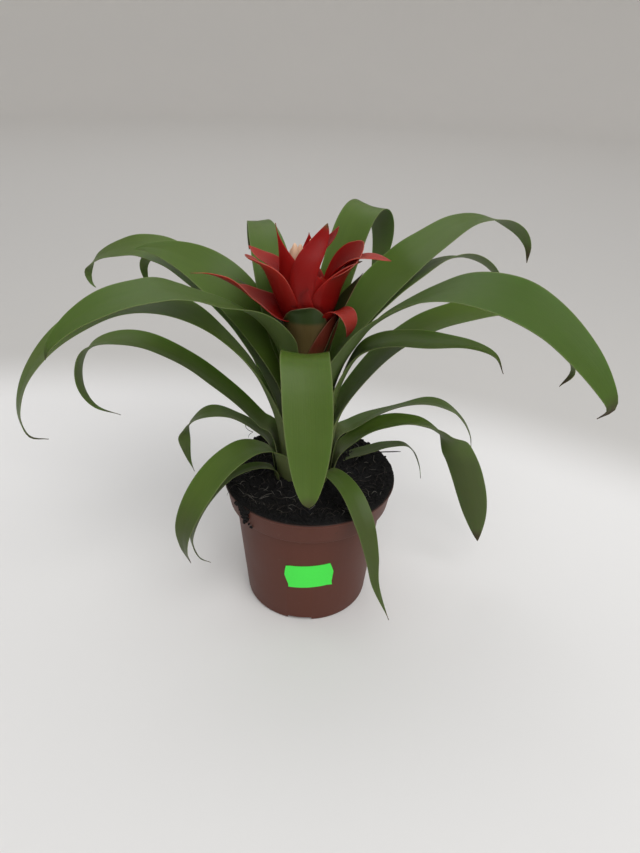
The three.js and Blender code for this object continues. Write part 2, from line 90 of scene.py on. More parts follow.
PEAT_SPLASH = (0.03, 0.022, 0.018)
RIM_DIRT = (0.020, 0.014, 0.012)


def mesh_object(name, vertices, faces, smooth=True):
    """A mesh in the solids' own frame, linked to the scene."""
    mesh = bpy.data.meshes.new(name)
    mesh.from_pydata(np.asarray(vertices, float).tolist(), [], faces)
    mesh.polygons.foreach_set("use_smooth", [smooth] * len(mesh.polygons))
    mesh.update()
    made = bpy.data.objects.new(name, mesh)
    bpy.context.scene.collection.objects.link(made)
    return made


def softened(profile, steps=4):
    """Rounds the corners of a list of (radius, height, corner) with short curves."""
    out = []
    for i, (r, z, corner) in enumerate(profile):
        here = np.array([r, z])
        if corner == 0 or i in (0, len(profile) - 1):
            out.append(here)
            continue
        before = np.array(profile[i - 1][:2]) - here
        after = np.array(profile[i + 1][:2]) - here
        start = here + before * corner / np.linalg.norm(before)
        end = here + after * corner / np.linalg.norm(after)
        for s in np.linspace(0, 1, steps + 1):
            out.append((1 - s) ** 2 * start + 2 * s * (1 - s) * here + s * s * end)
    return np.array(out)


def ring_faces(rings, sides):
    """Faces that join closed rings of vertices, each ring to the next."""
    faces = []
    for i in range(rings - 1):
        for j in range(sides):
            k = (j + 1) % sides
            faces.append((i * sides + j, i * sides + k, (i + 1) * sides + k, (i + 1) * sides + j))
    return faces


def flipped(faces):
    """The same faces, facing the other way."""
    return [face[:1] + face[:0:-1] for face in faces]


def capped_faces(rings, sides):
    """Faces of joined rings, closed at both ends by the two vertices that come after them."""
    faces = ring_faces(rings, sides)
    first, last, top = rings * sides, rings * sides + 1, (rings - 1) * sides
    for j in range(sides):
        k = (j + 1) % sides
        faces.append((first, k, j))
        faces.append((last, top + j, top + k))
    return faces


def turned(profile, sides, centre=(0, 0)):
    """Vertices and faces of a profile turned about a vertical axis. It starts and ends on the axis."""
    inner = profile[1:-1]
    angles = np.arange(sides) * 2 * math.pi / sides
    ring = np.stack([np.cos(angles), np.sin(angles)], 1)
    rows = [np.column_stack([ring * r + centre, np.full(sides, z)]) for r, z in inner]
    ends = [[*centre, profile[0][1]], [*centre, profile[-1][1]]]
    return np.vstack([*rows, ends]), capped_faces(len(inner), sides)


def carve(piece, cutters):
    """Cuts closed meshes out of a piece and removes them."""
    for cutter in cutters:
        cut = piece.modifiers.new("cut", "BOOLEAN")
        cut.object = cutter
        cut.solver = "EXACT"
    settled = piece.evaluated_get(bpy.context.evaluated_depsgraph_get())
    mesh = bpy.data.meshes.new_from_object(settled)
    piece.modifiers.clear()
    piece.data = mesh
    for cutter in cutters:
        bpy.data.objects.remove(cutter)


def surface(name, **constants):
    """A material, its tree, its shader with the values that are the same all over, and its places."""
    material = bpy.data.materials.new(name)
    material.use_nodes = True
    tree = material.node_tree
    shader = tree.nodes["Principled BSDF"]
    for key, value in constants.items():
        shader.inputs[key.replace("_", " ").title().replace("Ior", "IOR")].default_value = value
    return material, tree, shader, node(tree, "TexCoord", {}).outputs["Object"]


def feed(tree, socket, value):
    """Links a node's output into a socket, or sets the socket to a plain value."""
    if isinstance(value, bpy.types.NodeSocket):
        tree.links.new(value, socket)
    else:
        socket.default_value = value


def node(tree, kind, inputs, **settings):
    """A shader node with its inputs fed and its settings made."""
    made = tree.nodes.new("ShaderNode" + kind)
    for key, value in settings.items():
        setattr(made, key, value)
    for key, value in inputs.items():
        feed(tree, made.inputs[key], value)
    return made


def sums(tree, operation, *values):
    """The result of one sum on numbers or sockets."""
    return node(tree, "Math", dict(enumerate(values)), operation=operation).outputs[0]


def spread(tree, value, low, high):
    """A value's place between low and high, from 0 to 1, with soft ends."""
    inputs = {"Value": value, "From Min": low, "From Max": high}
    return node(tree, "MapRange", inputs, interpolation_type="SMOOTHSTEP").outputs["Result"]


def tinted(tree, share, base, other, amount=None):
    """One colour laid over another by a share, which an amount can weaken."""
    if amount is not None:
        share = sums(tree, "MULTIPLY", share, amount)
    made = tree.nodes.new("ShaderNodeMix")
    made.data_type = "RGBA"
    for index, value in ((0, share), (6, base), (7, other)):
        feed(tree, made.inputs[index], (*value, 1) if isinstance(value, tuple) else value)
    return made.outputs[2]


def cloudy(tree, place, scale, detail=3.0, roughness=0.55):
    """Soft noise from 0 to 1 at a scale per metre."""
    inputs = {"Vector": place, "Scale": scale, "Detail": detail, "Roughness": roughness}
    return node(tree, "TexNoise", inputs).outputs[0]


def stretched(tree, place, scale):
    """Places scaled by a different amount along each axis, for noise that is drawn out."""
    return node(tree, "Mapping", {"Vector": place, "Scale": scale}).outputs[0]


def level(tree, place, axis="Z"):
    """How far up a place is, or along another axis."""
    return node(tree, "SeparateXYZ", {"Vector": place}).outputs[axis]


def raised(tree, height, distance, strength=1.0, under=None):
    """A bump whose height of 1 stands for a distance in metres."""
    inputs = {"Height": height, "Distance": distance, "Strength": strength}
    if under is not None:
        inputs["Normal"] = under
    return node(tree, "Bump", inputs).outputs[0]


def coat(tree, shader, colour, normal, roughness=None):
    """Feeds a shader its colour, its bumps and, where it varies, its roughness."""
    feed(tree, shader.inputs["Base Color"], colour)
    feed(tree, shader.inputs["Normal"], normal)
    if roughness is not None:
        feed(tree, shader.inputs["Roughness"], roughness)


def dress(piece, material, slot, *nodes):
    """Gives a piece its material, its body and the solids that it stands for. Its slot is not used."""
    piece.data.materials.clear()
    piece.data.materials.append(material)
    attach(piece, "root")
    if nodes:
        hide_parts(*nodes)


pot_profile = softened(
    [
        (0, 0, 0),
        (PAD_RADIUS, 0, 0.3 * MM),
        (PAD_RADIUS + 1 * MM, FLOOR_UNDERSIDE, 0.3 * MM),
        (FOOT_RING_INNER - 1 * MM, FLOOR_UNDERSIDE, 0.3 * MM),
        (FOOT_RING_INNER, 0, 0.2 * MM),
        (FOOT_RADIUS, 0, 1.6 * MM),
        (NECK_RADIUS, COLLAR_FOOT, 0.5 * MM),
        (COLLAR_RADIUS, COLLAR_FOOT + 0.6 * MM, 0.6 * MM),
        (RIM_RADIUS - 0.7 * MM, POT_HEIGHT - 1.9 * MM, 0.3 * MM),
        (RIM_RADIUS, POT_HEIGHT - 1.4 * MM, 0.3 * MM),
        (RIM_RADIUS, POT_HEIGHT, 0.35 * MM),
        (RIM_RADIUS - 0.7 * MM - WALL, POT_HEIGHT, 0.35 * MM),
        (COLLAR_RADIUS - WALL, COLLAR_FOOT + 0.6 * MM + WALL, 0.5 * MM),
        (NECK_RADIUS - WALL, COLLAR_FOOT + WALL, 0.5 * MM),
        (FOOT_RADIUS - WALL, FLOOR_TOP, 1.0 * MM),
        (0, FLOOR_TOP, 0),
    ]
)
pot = mesh_object("pot_shell", *turned(pot_profile, POT_SIDES))
cutters = []
for i in range(NOTCHES):
    corners = np.array([(x, y, z) for x in (-0.5, 0.5) for y in (-0.5, 0.5) for z in (-0.5, 0.5)])
    box = corners * NOTCH_SIZE + (0, -FOOT_RADIUS, 0)
    turn = np.array(Matrix.Rotation(i * 2 * math.pi / NOTCHES + NOTCH_TURN, 3, "Z"))
    sides = [(0, 1, 3, 2), (4, 6, 7, 5), (0, 4, 5, 1), (2, 3, 7, 6), (0, 2, 6, 4), (1, 5, 7, 3)]
    cutters.append(mesh_object(f"notch_{i}", box @ turn.T, sides, smooth=False))
for i in range(DRAINS):
    angle = (i + 0.5) * 2 * math.pi / DRAINS
    centre = (DRAIN_CIRCLE * math.cos(angle), DRAIN_CIRCLE * math.sin(angle))
    near, far = DRILL_REACH
    drill = np.array([(0, near), (DRAIN_RADIUS, near), (DRAIN_RADIUS, far), (0, far)])
    cutters.append(mesh_object(f"drain_{i}", *turned(drill, 32, centre)))
carve(pot, cutters)
pot.data.polygons.foreach_set("use_smooth", [True] * len(pot.data.polygons))
pot.data.set_sharp_from_angle(angle=math.radians(40))

plastic, tree, shader, place = surface("pot_plastic", specular_ior_level=0.25)
height = level(tree, place)
mottle = cloudy(tree, place, 38, 4)
drift = stretched(tree, place, (260, 260, 14))
scuffs = spread(tree, cloudy(tree, place, 420, 5, 0.7), 0.62, 0.78)
splashes = spread(tree, cloudy(tree, place, 650, 3, 0.6), 0.66, 0.72)
near_soil = spread(tree, height, 60 * MM, POT_HEIGHT)
rim_top = spread(tree, height, POT_HEIGHT - 0.8 * MM, POT_HEIGHT - 0.1 * MM)
colour = tinted(tree, mottle, *PLASTIC_BROWNS)
colour = tinted(tree, cloudy(tree, drift, 1, 3), colour, FLOW_BROWN, 0.35)
colour = tinted(tree, scuffs, colour, SCUFF_TAN, 0.22)
colour = tinted(tree, sums(tree, "MULTIPLY", splashes, near_soil), colour, PEAT_SPLASH)
colour = tinted(tree, rim_top, colour, RIM_DIRT, 0.85)
satin = node(tree, "MapRange", {"Value": mottle, "To Min": 0.42, "To Max": 0.62}).outputs[0]
waves = raised(tree, cloudy(tree, drift, 0.35, 2), 0.0003, 0.5)
grain = raised(tree, cloudy(tree, place, 2600, 2, 0.5), 0.00004, 0.6, waves)
coat(tree, shader, colour, grain, satin)
dress(pot, plastic, "pot", "pot")

# Soil
# Dark damp peat, filled to just under the rim and heaped at the back, with crumbs, pale root
# fibres and bits of stalk lying on it. A clump has spilled over the left of the rim.
SOIL_LEVEL = 72.2
SOIL_RADIUS = 44.6
PLANT_X = -3
HEAPS = ((22, 31, 5.5, 150), (-28, 27, 4.5, 90), (15, 16, 5.5, 60))
CROWN_RING, CROWN_RING_WIDTH, CROWN_RING_HEIGHT = 14, 5.5, 5.2
BRIM_START, BRIM_END = 30, 42.5
ON_RIM, LOWEST_ON_RIM = 75.5, 75.25
RIPPLES = ((3.1, 0.3, 0.45), (1.9, 1.1, 0.35), (1.2, 2.0, 0.25), (0.8, 2.7, 0.16))
SOIL_RINGS, SOIL_SPOKES = 90, 300
PEAT_BLACKS = (0.003, 0.003, 0.0033), (0.013, 0.0118, 0.011)
DAMP_SHEEN = (0.006, 0.0068, 0.0085)
soil_draw = np.random.default_rng(11)


def soil_height(x, y):
    """Height of the soil in millimetres: the same mound as the solid, before its crumbs."""
    lumps = 0.7 * np.sin(0.31 * x + 1.2) * np.cos(0.27 * y - 0.4) + 0.5 * np.sin(0.74 * x - 0.51 * y)
    middle = SOIL_LEVEL + lumps
    for heap_x, heap_y, rise, girth in HEAPS:
        middle = middle + rise * np.exp(-((x - heap_x) ** 2 + (y - heap_y) ** 2) / girth)
    from_ring = (np.hypot(x - PLANT_X, y) - CROWN_RING) / CROWN_RING_WIDTH
    middle = middle + CROWN_RING_HEIGHT * np.exp(-(from_ring**2))
    edge = np.clip((np.hypot(x, y) - BRIM_START) / (BRIM_END - BRIM_START), 0, 1)
    surface_height = middle + (ON_RIM - middle) * edge * edge * (3 - 2 * edge)
    return np.maximum(surface_height, LOWEST_ON_RIM * (edge >= 1))


def soil_relief(x, y):
    """Fine crumbs in the surface, as waves of several sizes with turned axes."""
    out = np.zeros_like(x)
    for size, turn, depth in RIPPLES:
        a = (x * math.cos(turn) + y * math.sin(turn)) * 2 * math.pi / size
        b = (y * math.cos(turn) - x * math.sin(turn)) * 2 * math.pi / size
        out += depth * np.sin(a + 1.3 * np.sin(b * 0.37)) * np.sin(b + 1.7 * np.sin(a * 0.29))
    return out


radii = np.linspace(SOIL_RADIUS / SOIL_RINGS, SOIL_RADIUS, SOIL_RINGS)
turns = np.arange(SOIL_SPOKES) * 2 * math.pi / SOIL_SPOKES
ragged = 0.15 * np.sin(5 * turns + 0.6)
ragged += 0.15 * np.sin(13 * turns) * np.sin(3 * turns)
ragged += 0.12 * np.sin(41 * turns)
brim = 1 + np.outer((radii / SOIL_RADIUS) ** 12, ragged / SOIL_RADIUS)
ring_x = radii[:, None] * brim * np.cos(turns)
ring_y = radii[:, None] * brim * np.sin(turns)
relief = soil_relief(ring_x, ring_y)
on_rim = np.clip((np.hypot(ring_x, ring_y) - 41.5) / 1.5, 0, 1)
ring_z = soil_height(ring_x, ring_y) + relief * (1 - on_rim) + np.abs(relief) * 0.5 * on_rim
top = np.stack([ring_x, ring_y, ring_z], 2).reshape(-1, 3)
outermost = SOIL_RADIUS + ragged
skirt = [(outermost - 0.1, 75.06), (42.9, 75.06), (42.6, 73.5), (39.1, 62), (33.5, 12), (32, 4.4)]
around = np.stack([np.cos(turns), np.sin(turns)])
rims = [np.column_stack([*(r * around), np.full(SOIL_SPOKES, z)]) for r, z in skirt]
soil_vertices = np.vstack([top, *rims, [[0, 0, SOIL_LEVEL], [0, 0, 4.4]]]) * MM
soil_faces = flipped(capped_faces(SOIL_RINGS + len(skirt), SOIL_SPOKES))
soil = mesh_object("soil_bed", soil_vertices, soil_faces)

peat, tree, shader, place = surface("damp_peat", roughness=0.9, specular_ior_level=0.25)
colour = tinted(tree, cloudy(tree, place, 900, 5, 0.7), *PEAT_BLACKS)
colour = tinted(tree, spread(tree, cloudy(tree, place, 120, 3), 0.55, 0.8), colour, DAMP_SHEEN)
coat(tree, shader, colour, raised(tree, cloudy(tree, place, 2400, 4, 0.7), 0.0005, 0.9))
dress(soil, peat, "soil", "soil")

# Crumbs, fibres and the spilled clump
# Loose peat crumbs a millimetre or so across, and root fibres as thin as hair, lying on the bed.
# More crumbs are heaped on the rim at the back, and a clump hangs over it at the front left.
CRUMBS = 2200
BARE_CROWN = 16.5
RIM_PILES = ((57, 0.16, 170), (131, 0.14, 120), (262, 0.5, 160), (215, 0.25, 60))
CLUMP_CRUMBS = 110
CLUMP_AZIMUTH = math.radians(225)
FIBRES = 300
FIBRE_BROWNS = (0.016, 0.013, 0.011), (0.052, 0.043, 0.036)
FIBRE_GREYS = (0.060, 0.055, 0.048), (0.20, 0.19, 0.165)
icosahedron = []
golden = (1 + 5 ** 0.5) / 2
for a, b in ((1, golden), (1, -golden), (-1, golden), (-1, -golden)):
    icosahedron += [(0, a, b), (a, b, 0), (b, 0, a)]
icosahedron = np.array(icosahedron) / math.hypot(1, golden)
edge = 2 / math.hypot(1, golden)
icosa_faces = []
for a in range(12):
    for b in range(a + 1, 12):
        for c in range(b + 1, 12):
            three = icosahedron[[a, b, c]]
            if all(abs(np.linalg.norm(three[i] - three[i - 1]) - edge) < 0.01 for i in range(3)):
                outward = np.dot(np.cross(three[1] - three[0], three[2] - three[0]), three.sum(0)) > 0
                icosa_faces.append((a, b, c) if outward else (a, c, b))


def crumb(centre, size):
    """One uneven crumb as vertices round a centre, in millimetres."""
    bumpy = icosahedron * soil_draw.uniform(0.7, 1.25, (12, 1)) * soil_draw.uniform(0.6, 1.2, 3)
    turn = np.array(Matrix.Rotation(soil_draw.uniform(0, 6.3), 3, Vector(soil_draw.normal(size=3))))
    return bumpy @ turn.T * size / 2 + centre


crumb_vertices, crumb_faces = [], []


def add_crumb(centre, size):
    """Adds a crumb to the heap that becomes one piece."""
    start = 12 * len(crumb_vertices)
    crumb_vertices.append(crumb(centre, size))
    crumb_faces.extend((a + start, b + start, c + start) for a, b, c in icosa_faces)


while len(crumb_vertices) < CRUMBS:
    r, a = SOIL_RADIUS * math.sqrt(soil_draw.uniform(0, 1)), soil_draw.uniform(0, 2 * math.pi)
    x, y = r * math.cos(a), r * math.sin(a)
    if math.hypot(x - PLANT_X, y) > BARE_CROWN:
        size = 0.5 + soil_draw.gamma(1.6, 0.35)
        add_crumb((x, y, soil_height(x, y) + 0.25 * size), min(size, 3.0))
for azimuth, width, count in RIM_PILES:
    for _ in range(count):
        a = math.radians(azimuth) + soil_draw.normal(0, width)
        r = soil_draw.uniform(40.5, 44.6)
        at_back = azimuth < 180
        pile = 3.4 * math.exp(-(((a - math.radians(azimuth)) / width) ** 2)) if at_back else 0.5
        size = soil_draw.uniform(0.5, 1.7)
        z = 75.2 + soil_draw.uniform(0, 1) * pile * min(1, (45.5 - r) / 3)
        add_crumb((r * math.cos(a), r * math.sin(a), z + 0.3 * size), size)
for _ in range(CLUMP_CRUMBS):
    a = CLUMP_AZIMUTH + soil_draw.normal(0, 0.045)
    drop = abs(soil_draw.normal(0, 4.5))
    wall = 45 - 2.6 * min(drop, 13) / 13 if drop < 13 else 39.4
    foot = ((wall + 0.7) * math.cos(a), (wall + 0.7) * math.sin(a), 75.2 - drop)
    add_crumb(foot, soil_draw.uniform(0.7, 2.4))
crumbs = mesh_object("soil_crumbs", np.vstack(crumb_vertices) * MM, crumb_faces, smooth=False)
dress(crumbs, peat, "soil")


def strand(points, radius, sides=5):
    """Vertices and faces of a thin tapered thread through points, in millimetres."""
    points = np.asarray(points, float)
    along = np.gradient(points, axis=0)
    along /= np.linalg.norm(along, axis=1, keepdims=True)
    across = np.cross(along, (0.31, 0.52, 0.79))
    across /= np.linalg.norm(across, axis=1, keepdims=True)
    third = np.cross(along, across)
    taper = 1 - 0.7 * np.linspace(-1, 1, len(points)) ** 4
    rows = []
    for j in range(sides):
        a = 2 * math.pi * j / sides
        rows.append(points + (across * math.cos(a) + third * math.sin(a)) * radius * taper[:, None])
    vertices = np.stack(rows, 1).reshape(-1, 3)
    faces = ring_faces(len(points), sides)
    faces.append(tuple(range(sides))[::-1])
    faces.append(tuple(range(len(vertices) - sides, len(vertices))))
    return vertices, faces


def joined(name, shapes, smooth=True):
    """One object out of several lists of vertices and faces, in millimetres."""
    vertices, faces, start = [], [], 0
    for points, sides in shapes:
        vertices.append(points)
        faces.extend(tuple(index + start for index in side) for side in sides)
        start += len(points)
    return mesh_object(name, np.vstack(vertices) * MM, faces, smooth)


def wandering(start, heading, length, curl, lift, steps=9):
    """Points of a fibre that lies on the soil, turning as it goes."""
    points, x, y = [], *start
    for i in range(steps):
        points.append((x, y, soil_height(x, y) + 0.45 + lift * math.sin(math.pi * i / (steps - 1))))
        heading += curl / steps + soil_draw.normal(0, 0.16)
        x += length / steps * math.cos(heading)
        y += length / steps * math.sin(heading)
    return np.array(points)


dark_fibres, pale_fibres = [], []
while len(dark_fibres) + len(pale_fibres) < FIBRES:
    r, a = SOIL_RADIUS * math.sqrt(soil_draw.uniform(0.05, 0.9)), soil_draw.uniform(0, 2 * math.pi)
    start = (r * math.cos(a), r * math.sin(a))
    points = wandering(
        start,
        soil_draw.uniform(0, 2 * math.pi),
        2.5 + soil_draw.gamma(2.0, 1.6),
        soil_draw.normal(0, 0.8),
        soil_draw.uniform(0, 1.6),
    )
    reach = np.hypot(points[:, 0], points[:, 1]).max()
    if reach < 43 and np.hypot(points[:, 0] - PLANT_X, points[:, 1]).min() > 17:
        chosen = pale_fibres if soil_draw.uniform() < 0.22 else dark_fibres
        chosen.append(strand(points, soil_draw.uniform(0.06, 0.17)))
turn = np.linspace(0, 1, 26)
swing = 2.6 * np.cos(9 * turn) * (0.3 + turn)
climb = 9 * turn + 2.4 * np.sin(9 * turn) * turn
tendril = np.column_stack([-35 - swing, 29 + 4 * turn, 77 + climb])
arch = 3.6 * np.sin(math.pi * turn) - 2.8 * turn
hair = np.column_stack([-35 - 6.5 * turn, -16.5 - 4 * turn, 75.8 + arch])
twig = np.column_stack([33 + 17 * turn, 21 - 2 * turn, 75.6 + 2.6 * turn])
dark_fibres += [strand(tendril, 0.17), strand(hair, 0.14), strand(twig, 0.35)]

for name, shapes, tones in (
    ("soil_dark_fibres", dark_fibres, FIBRE_BROWNS),
    ("soil_pale_fibres", pale_fibres, FIBRE_GREYS),
):
    fibres = joined(name, shapes)
    fibre, tree, shader, place = surface(name, roughness=0.75, specular_ior_level=0.3)
    colour = tinted(tree, cloudy(tree, place, 180, 2), *tones)
    coat(tree, shader, colour, raised(tree, cloudy(tree, place, 5200, 2), 0.0001, 0.5))
    dress(fibres, fibre, "soil")

# Label
# A bare paper sticker from a hand labeller, in fluorescent green. Its cut ends come to a soft
# point, and it follows the pot's wall with two corners just lifting.
LABEL_WIDTH = 26
LABEL_HEIGHT = 16
LABEL_THICKNESS = 0.12
LABEL_CENTRE = 34.8
LABEL_AZIMUTH = math.radians(273)
LABEL_TILT = math.radians(5)
WALL_LEAN = (NECK_RADIUS - FOOT_RADIUS) / COLLAR_FOOT
LABEL_COLUMNS, LABEL_ROWS = 60, 24
LABEL_CLEARANCE = 0.06
LABEL_GREENS = (0.055, 0.66, 0.062), (0.075, 0.76, 0.080)
LABEL_PAINTED_GLOW = (0.03, 0.62, 0.05, 1)
RUBBED_GREEN = (0.16, 0.72, 0.17)
label_points = []
for side in (1, 0):
    for i in range(LABEL_COLUMNS + 1):
        s = 2 * i / LABEL_COLUMNS - 1
        for j in range(LABEL_ROWS + 1):
            up = (2 * j / LABEL_ROWS - 1) * LABEL_HEIGHT / 2
            point = 1.5 * max(0, 1 - abs(up - 1.2) / 6.5) ** 0.8 - 0.5
            along = s * (LABEL_WIDTH / 2 - 1.0 + point * abs(s) ** 3)
            x = along * math.cos(LABEL_TILT) - up * math.sin(LABEL_TILT)
            z = LABEL_CENTRE + along * math.sin(LABEL_TILT) + up * math.cos(LABEL_TILT)
            wall = FOOT_RADIUS / MM + WALL_LEAN * z
            lower_right = max(0, s - 0.75) * max(0, -up / 8 - 0.2) * 3.2
            upper_left = max(0, -s - 0.8) * max(0, up / 8 - 0.3) * 3
            reach = wall + LABEL_CLEARANCE + lower_right + upper_left + side * LABEL_THICKNESS
            angle = LABEL_AZIMUTH + x / wall
            label_points.append((reach * math.cos(angle), reach * math.sin(angle), z))
high = LABEL_ROWS + 1
half = (LABEL_COLUMNS + 1) * high
label_faces = []
for i in range(LABEL_COLUMNS):
    for j in range(LABEL_ROWS):
        a = i * high + j
        label_faces.append((a, a + high, a + high + 1, a + 1))
        label_faces.append((half + a, half + a + 1, half + a + high + 1, half + a + high))
outline = [i * high for i in range(LABEL_COLUMNS)]
outline += [LABEL_COLUMNS * high + j for j in range(LABEL_ROWS)]
outline += [i * high + LABEL_ROWS for i in range(LABEL_COLUMNS, 0, -1)]
outline += list(range(LABEL_ROWS, 0, -1))
for a, b in zip(outline, outline[1:] + outline[:1]):
    label_faces.append((a, half + a, half + b, b))
label = mesh_object("label_paper", np.array(label_points) * MM, label_faces)
label.data.set_sharp_from_angle(angle=math.radians(50))

# The paper's emission is a painted glow: the label shines on its own, though it is no lamp.
paper, tree, shader, place = surface(
    "fluorescent_paper",
    roughness=0.62,
    specular_ior_level=0.3,
    emission_color=LABEL_PAINTED_GLOW,
    emission_strength=0.22,
)
colour = tinted(tree, cloudy(tree, place, 1500, 4, 0.6), *LABEL_GREENS)
rubbed = spread(tree, cloudy(tree, place, 260, 4, 0.7), 0.62, 0.8)
colour = tinted(tree, rubbed, colour, RUBBED_GREEN, 0.25)
creases = raised(tree, cloudy(tree, place, 110, 2), 0.0004, 0.35)
coat(tree, shader, colour, raised(tree, cloudy(tree, place, 5200, 3), 0.00003, 0.5, creases))
dress(label, paper, "label", "label")

# Stem
# The short woody stock that the leaves grow from, with the pale round stalk that carries the head.
# The stock stands in the peat, and the sheaths of the leaves hide nearly all of the stalk.
STEM_BASE = 48
STOCK_RADIUS, STOCK_TOP = 4.2, 84
STALK_RADIUS, STALK_START = 3.0, 92
HEAD_BASE = 146
STALK_GREENS = (0.13, 0.19, 0.055), (0.20, 0.26, 0.09)
stem_profile = softened(
    [
        (0, STEM_BASE, 0),
        (STOCK_RADIUS - 0.8, STEM_BASE, 0.6),
        (STOCK_RADIUS, STEM_BASE + 2, 0.8),
        (STOCK_RADIUS, STOCK_TOP, 2),
        (STALK_RADIUS, STALK_START, 2),
        (STALK_RADIUS + 0.1, 118, 1),
        (STALK_RADIUS, HEAD_BASE, 0.3),
        (0, HEAD_BASE, 0),
    ]
)
stem_vertices, stem_faces = turned(stem_profile, 48, (PLANT_X, 0))
stem = mesh_object("stem_stalk", stem_vertices * MM, stem_faces)
stalk, tree, shader, place = surface("stalk_skin", roughness=0.5, specular_ior_level=0.4)
fine = cloudy(tree, stretched(tree, place, (2200, 2200, 60)), 1, 2)
coat(tree, shader, tinted(tree, fine, *STALK_GREENS), raised(tree, fine, 0.00008, 0.6))
dress(stem, stalk, "stem", "stem")

# Leaves
# Strap leaves in a spiral. Each one wraps the stem as a pale sheath, rises, arches over and hangs,
# and it has fine veins along it, a thin light margin, a greyer underside and a dried tip.
SHEATH_ROOT = 69
SHEATH_ARC = math.radians(85)
SHEATH_STEP = 1.12
INNERMOST_SHEATH = 5.4
LEAF_THICKNESS = 0.55
MARGIN_THICKNESS = 0.26
LEAF_SWAY = 0.45
UNWRAPS_BETWEEN = (14, 34)
SWAYS_BETWEEN = (26, 60)
SHEATH_FADES_UP = (84, 132)
SHEATH_FADES_OUT = (13, 27)
LEAF_GREENS = (0.060, 0.104, 0.014), (0.088, 0.136, 0.022)
BAND_GREEN = (0.105, 0.150, 0.024)
VEIN_GREEN = (0.046, 0.086, 0.012)
SHADED_GREEN = (0.046, 0.088, 0.012)
UNDERSIDE_GREY = (0.095, 0.125, 0.045)
SHEATH_PALE_AND_PAINTED_LIGHT = (0.210, 0.240, 0.105)
LEAF_FOOT_PAINTED_SHADE = (0.055, 0.070, 0.020)
MARGIN_PALE = (0.175, 0.190, 0.085)
FLECK_PALE = (0.26, 0.30, 0.14)
DRIED_BROWN = (0.050, 0.032, 0.020)


def smooth(value, low, high):
    """Smooth step from 0 at low to 1 at high."""
    s = np.clip((value - low) / (high - low), 0, 1)
    return s * s * (3 - 2 * s)


def curve_through(points, count):
    """Evenly spaced points on a Catmull-Rom curve through the given ones, with its directions."""
    p = np.array(points, float)
    p = np.vstack([2 * p[0] - p[1], p, 2 * p[-1] - p[-2]])
    place = np.linspace(0, len(p) - 3, 60 * len(p))
    i = np.minimum(place.astype(int), len(p) - 4)
    f = (place - i)[:, None]
    before, start, end, after = p[i], p[i + 1], p[i + 2], p[i + 3]
    leave, arrive = (end - before) / 2, (after - start) / 2
    dense = (2 * f**3 - 3 * f**2 + 1) * start + (f**3 - 2 * f**2 + f) * leave
    dense += (3 * f**2 - 2 * f**3) * end + (f**3 - f**2) * arrive
    travelled = np.concatenate([[0], np.cumsum(np.linalg.norm(np.diff(dense, axis=0), axis=1))])
    even = np.linspace(0, travelled[-1], count)
    line = np.column_stack([np.interp(even, travelled, dense[:, c]) for c in range(3)])
    direction = np.gradient(line, axis=0)
    return line, direction / np.linalg.norm(direction, axis=1, keepdims=True), even


def along(values, t):
    """Values of an evenly spaced list at shares t of the length, with smooth steps between."""
    place = t * (len(values) - 1)
    i = np.minimum(place.astype(int), len(values) - 2)
    v = np.array(values, float)
    return v[i] + (v[i + 1] - v[i]) * smooth(place - i, 0, 1)


def width_share(t, root, broadest, taper):
    """Share of a blade's greatest width at shares t of its length."""
    rise = root + (1 - root) * smooth(t, 0.1 * broadest, broadest)
    fall = np.cos(np.clip((t - broadest) / (1 - broadest), 0, 1) * math.pi / 2) ** taper
    return np.where(t < broadest, rise, fall)


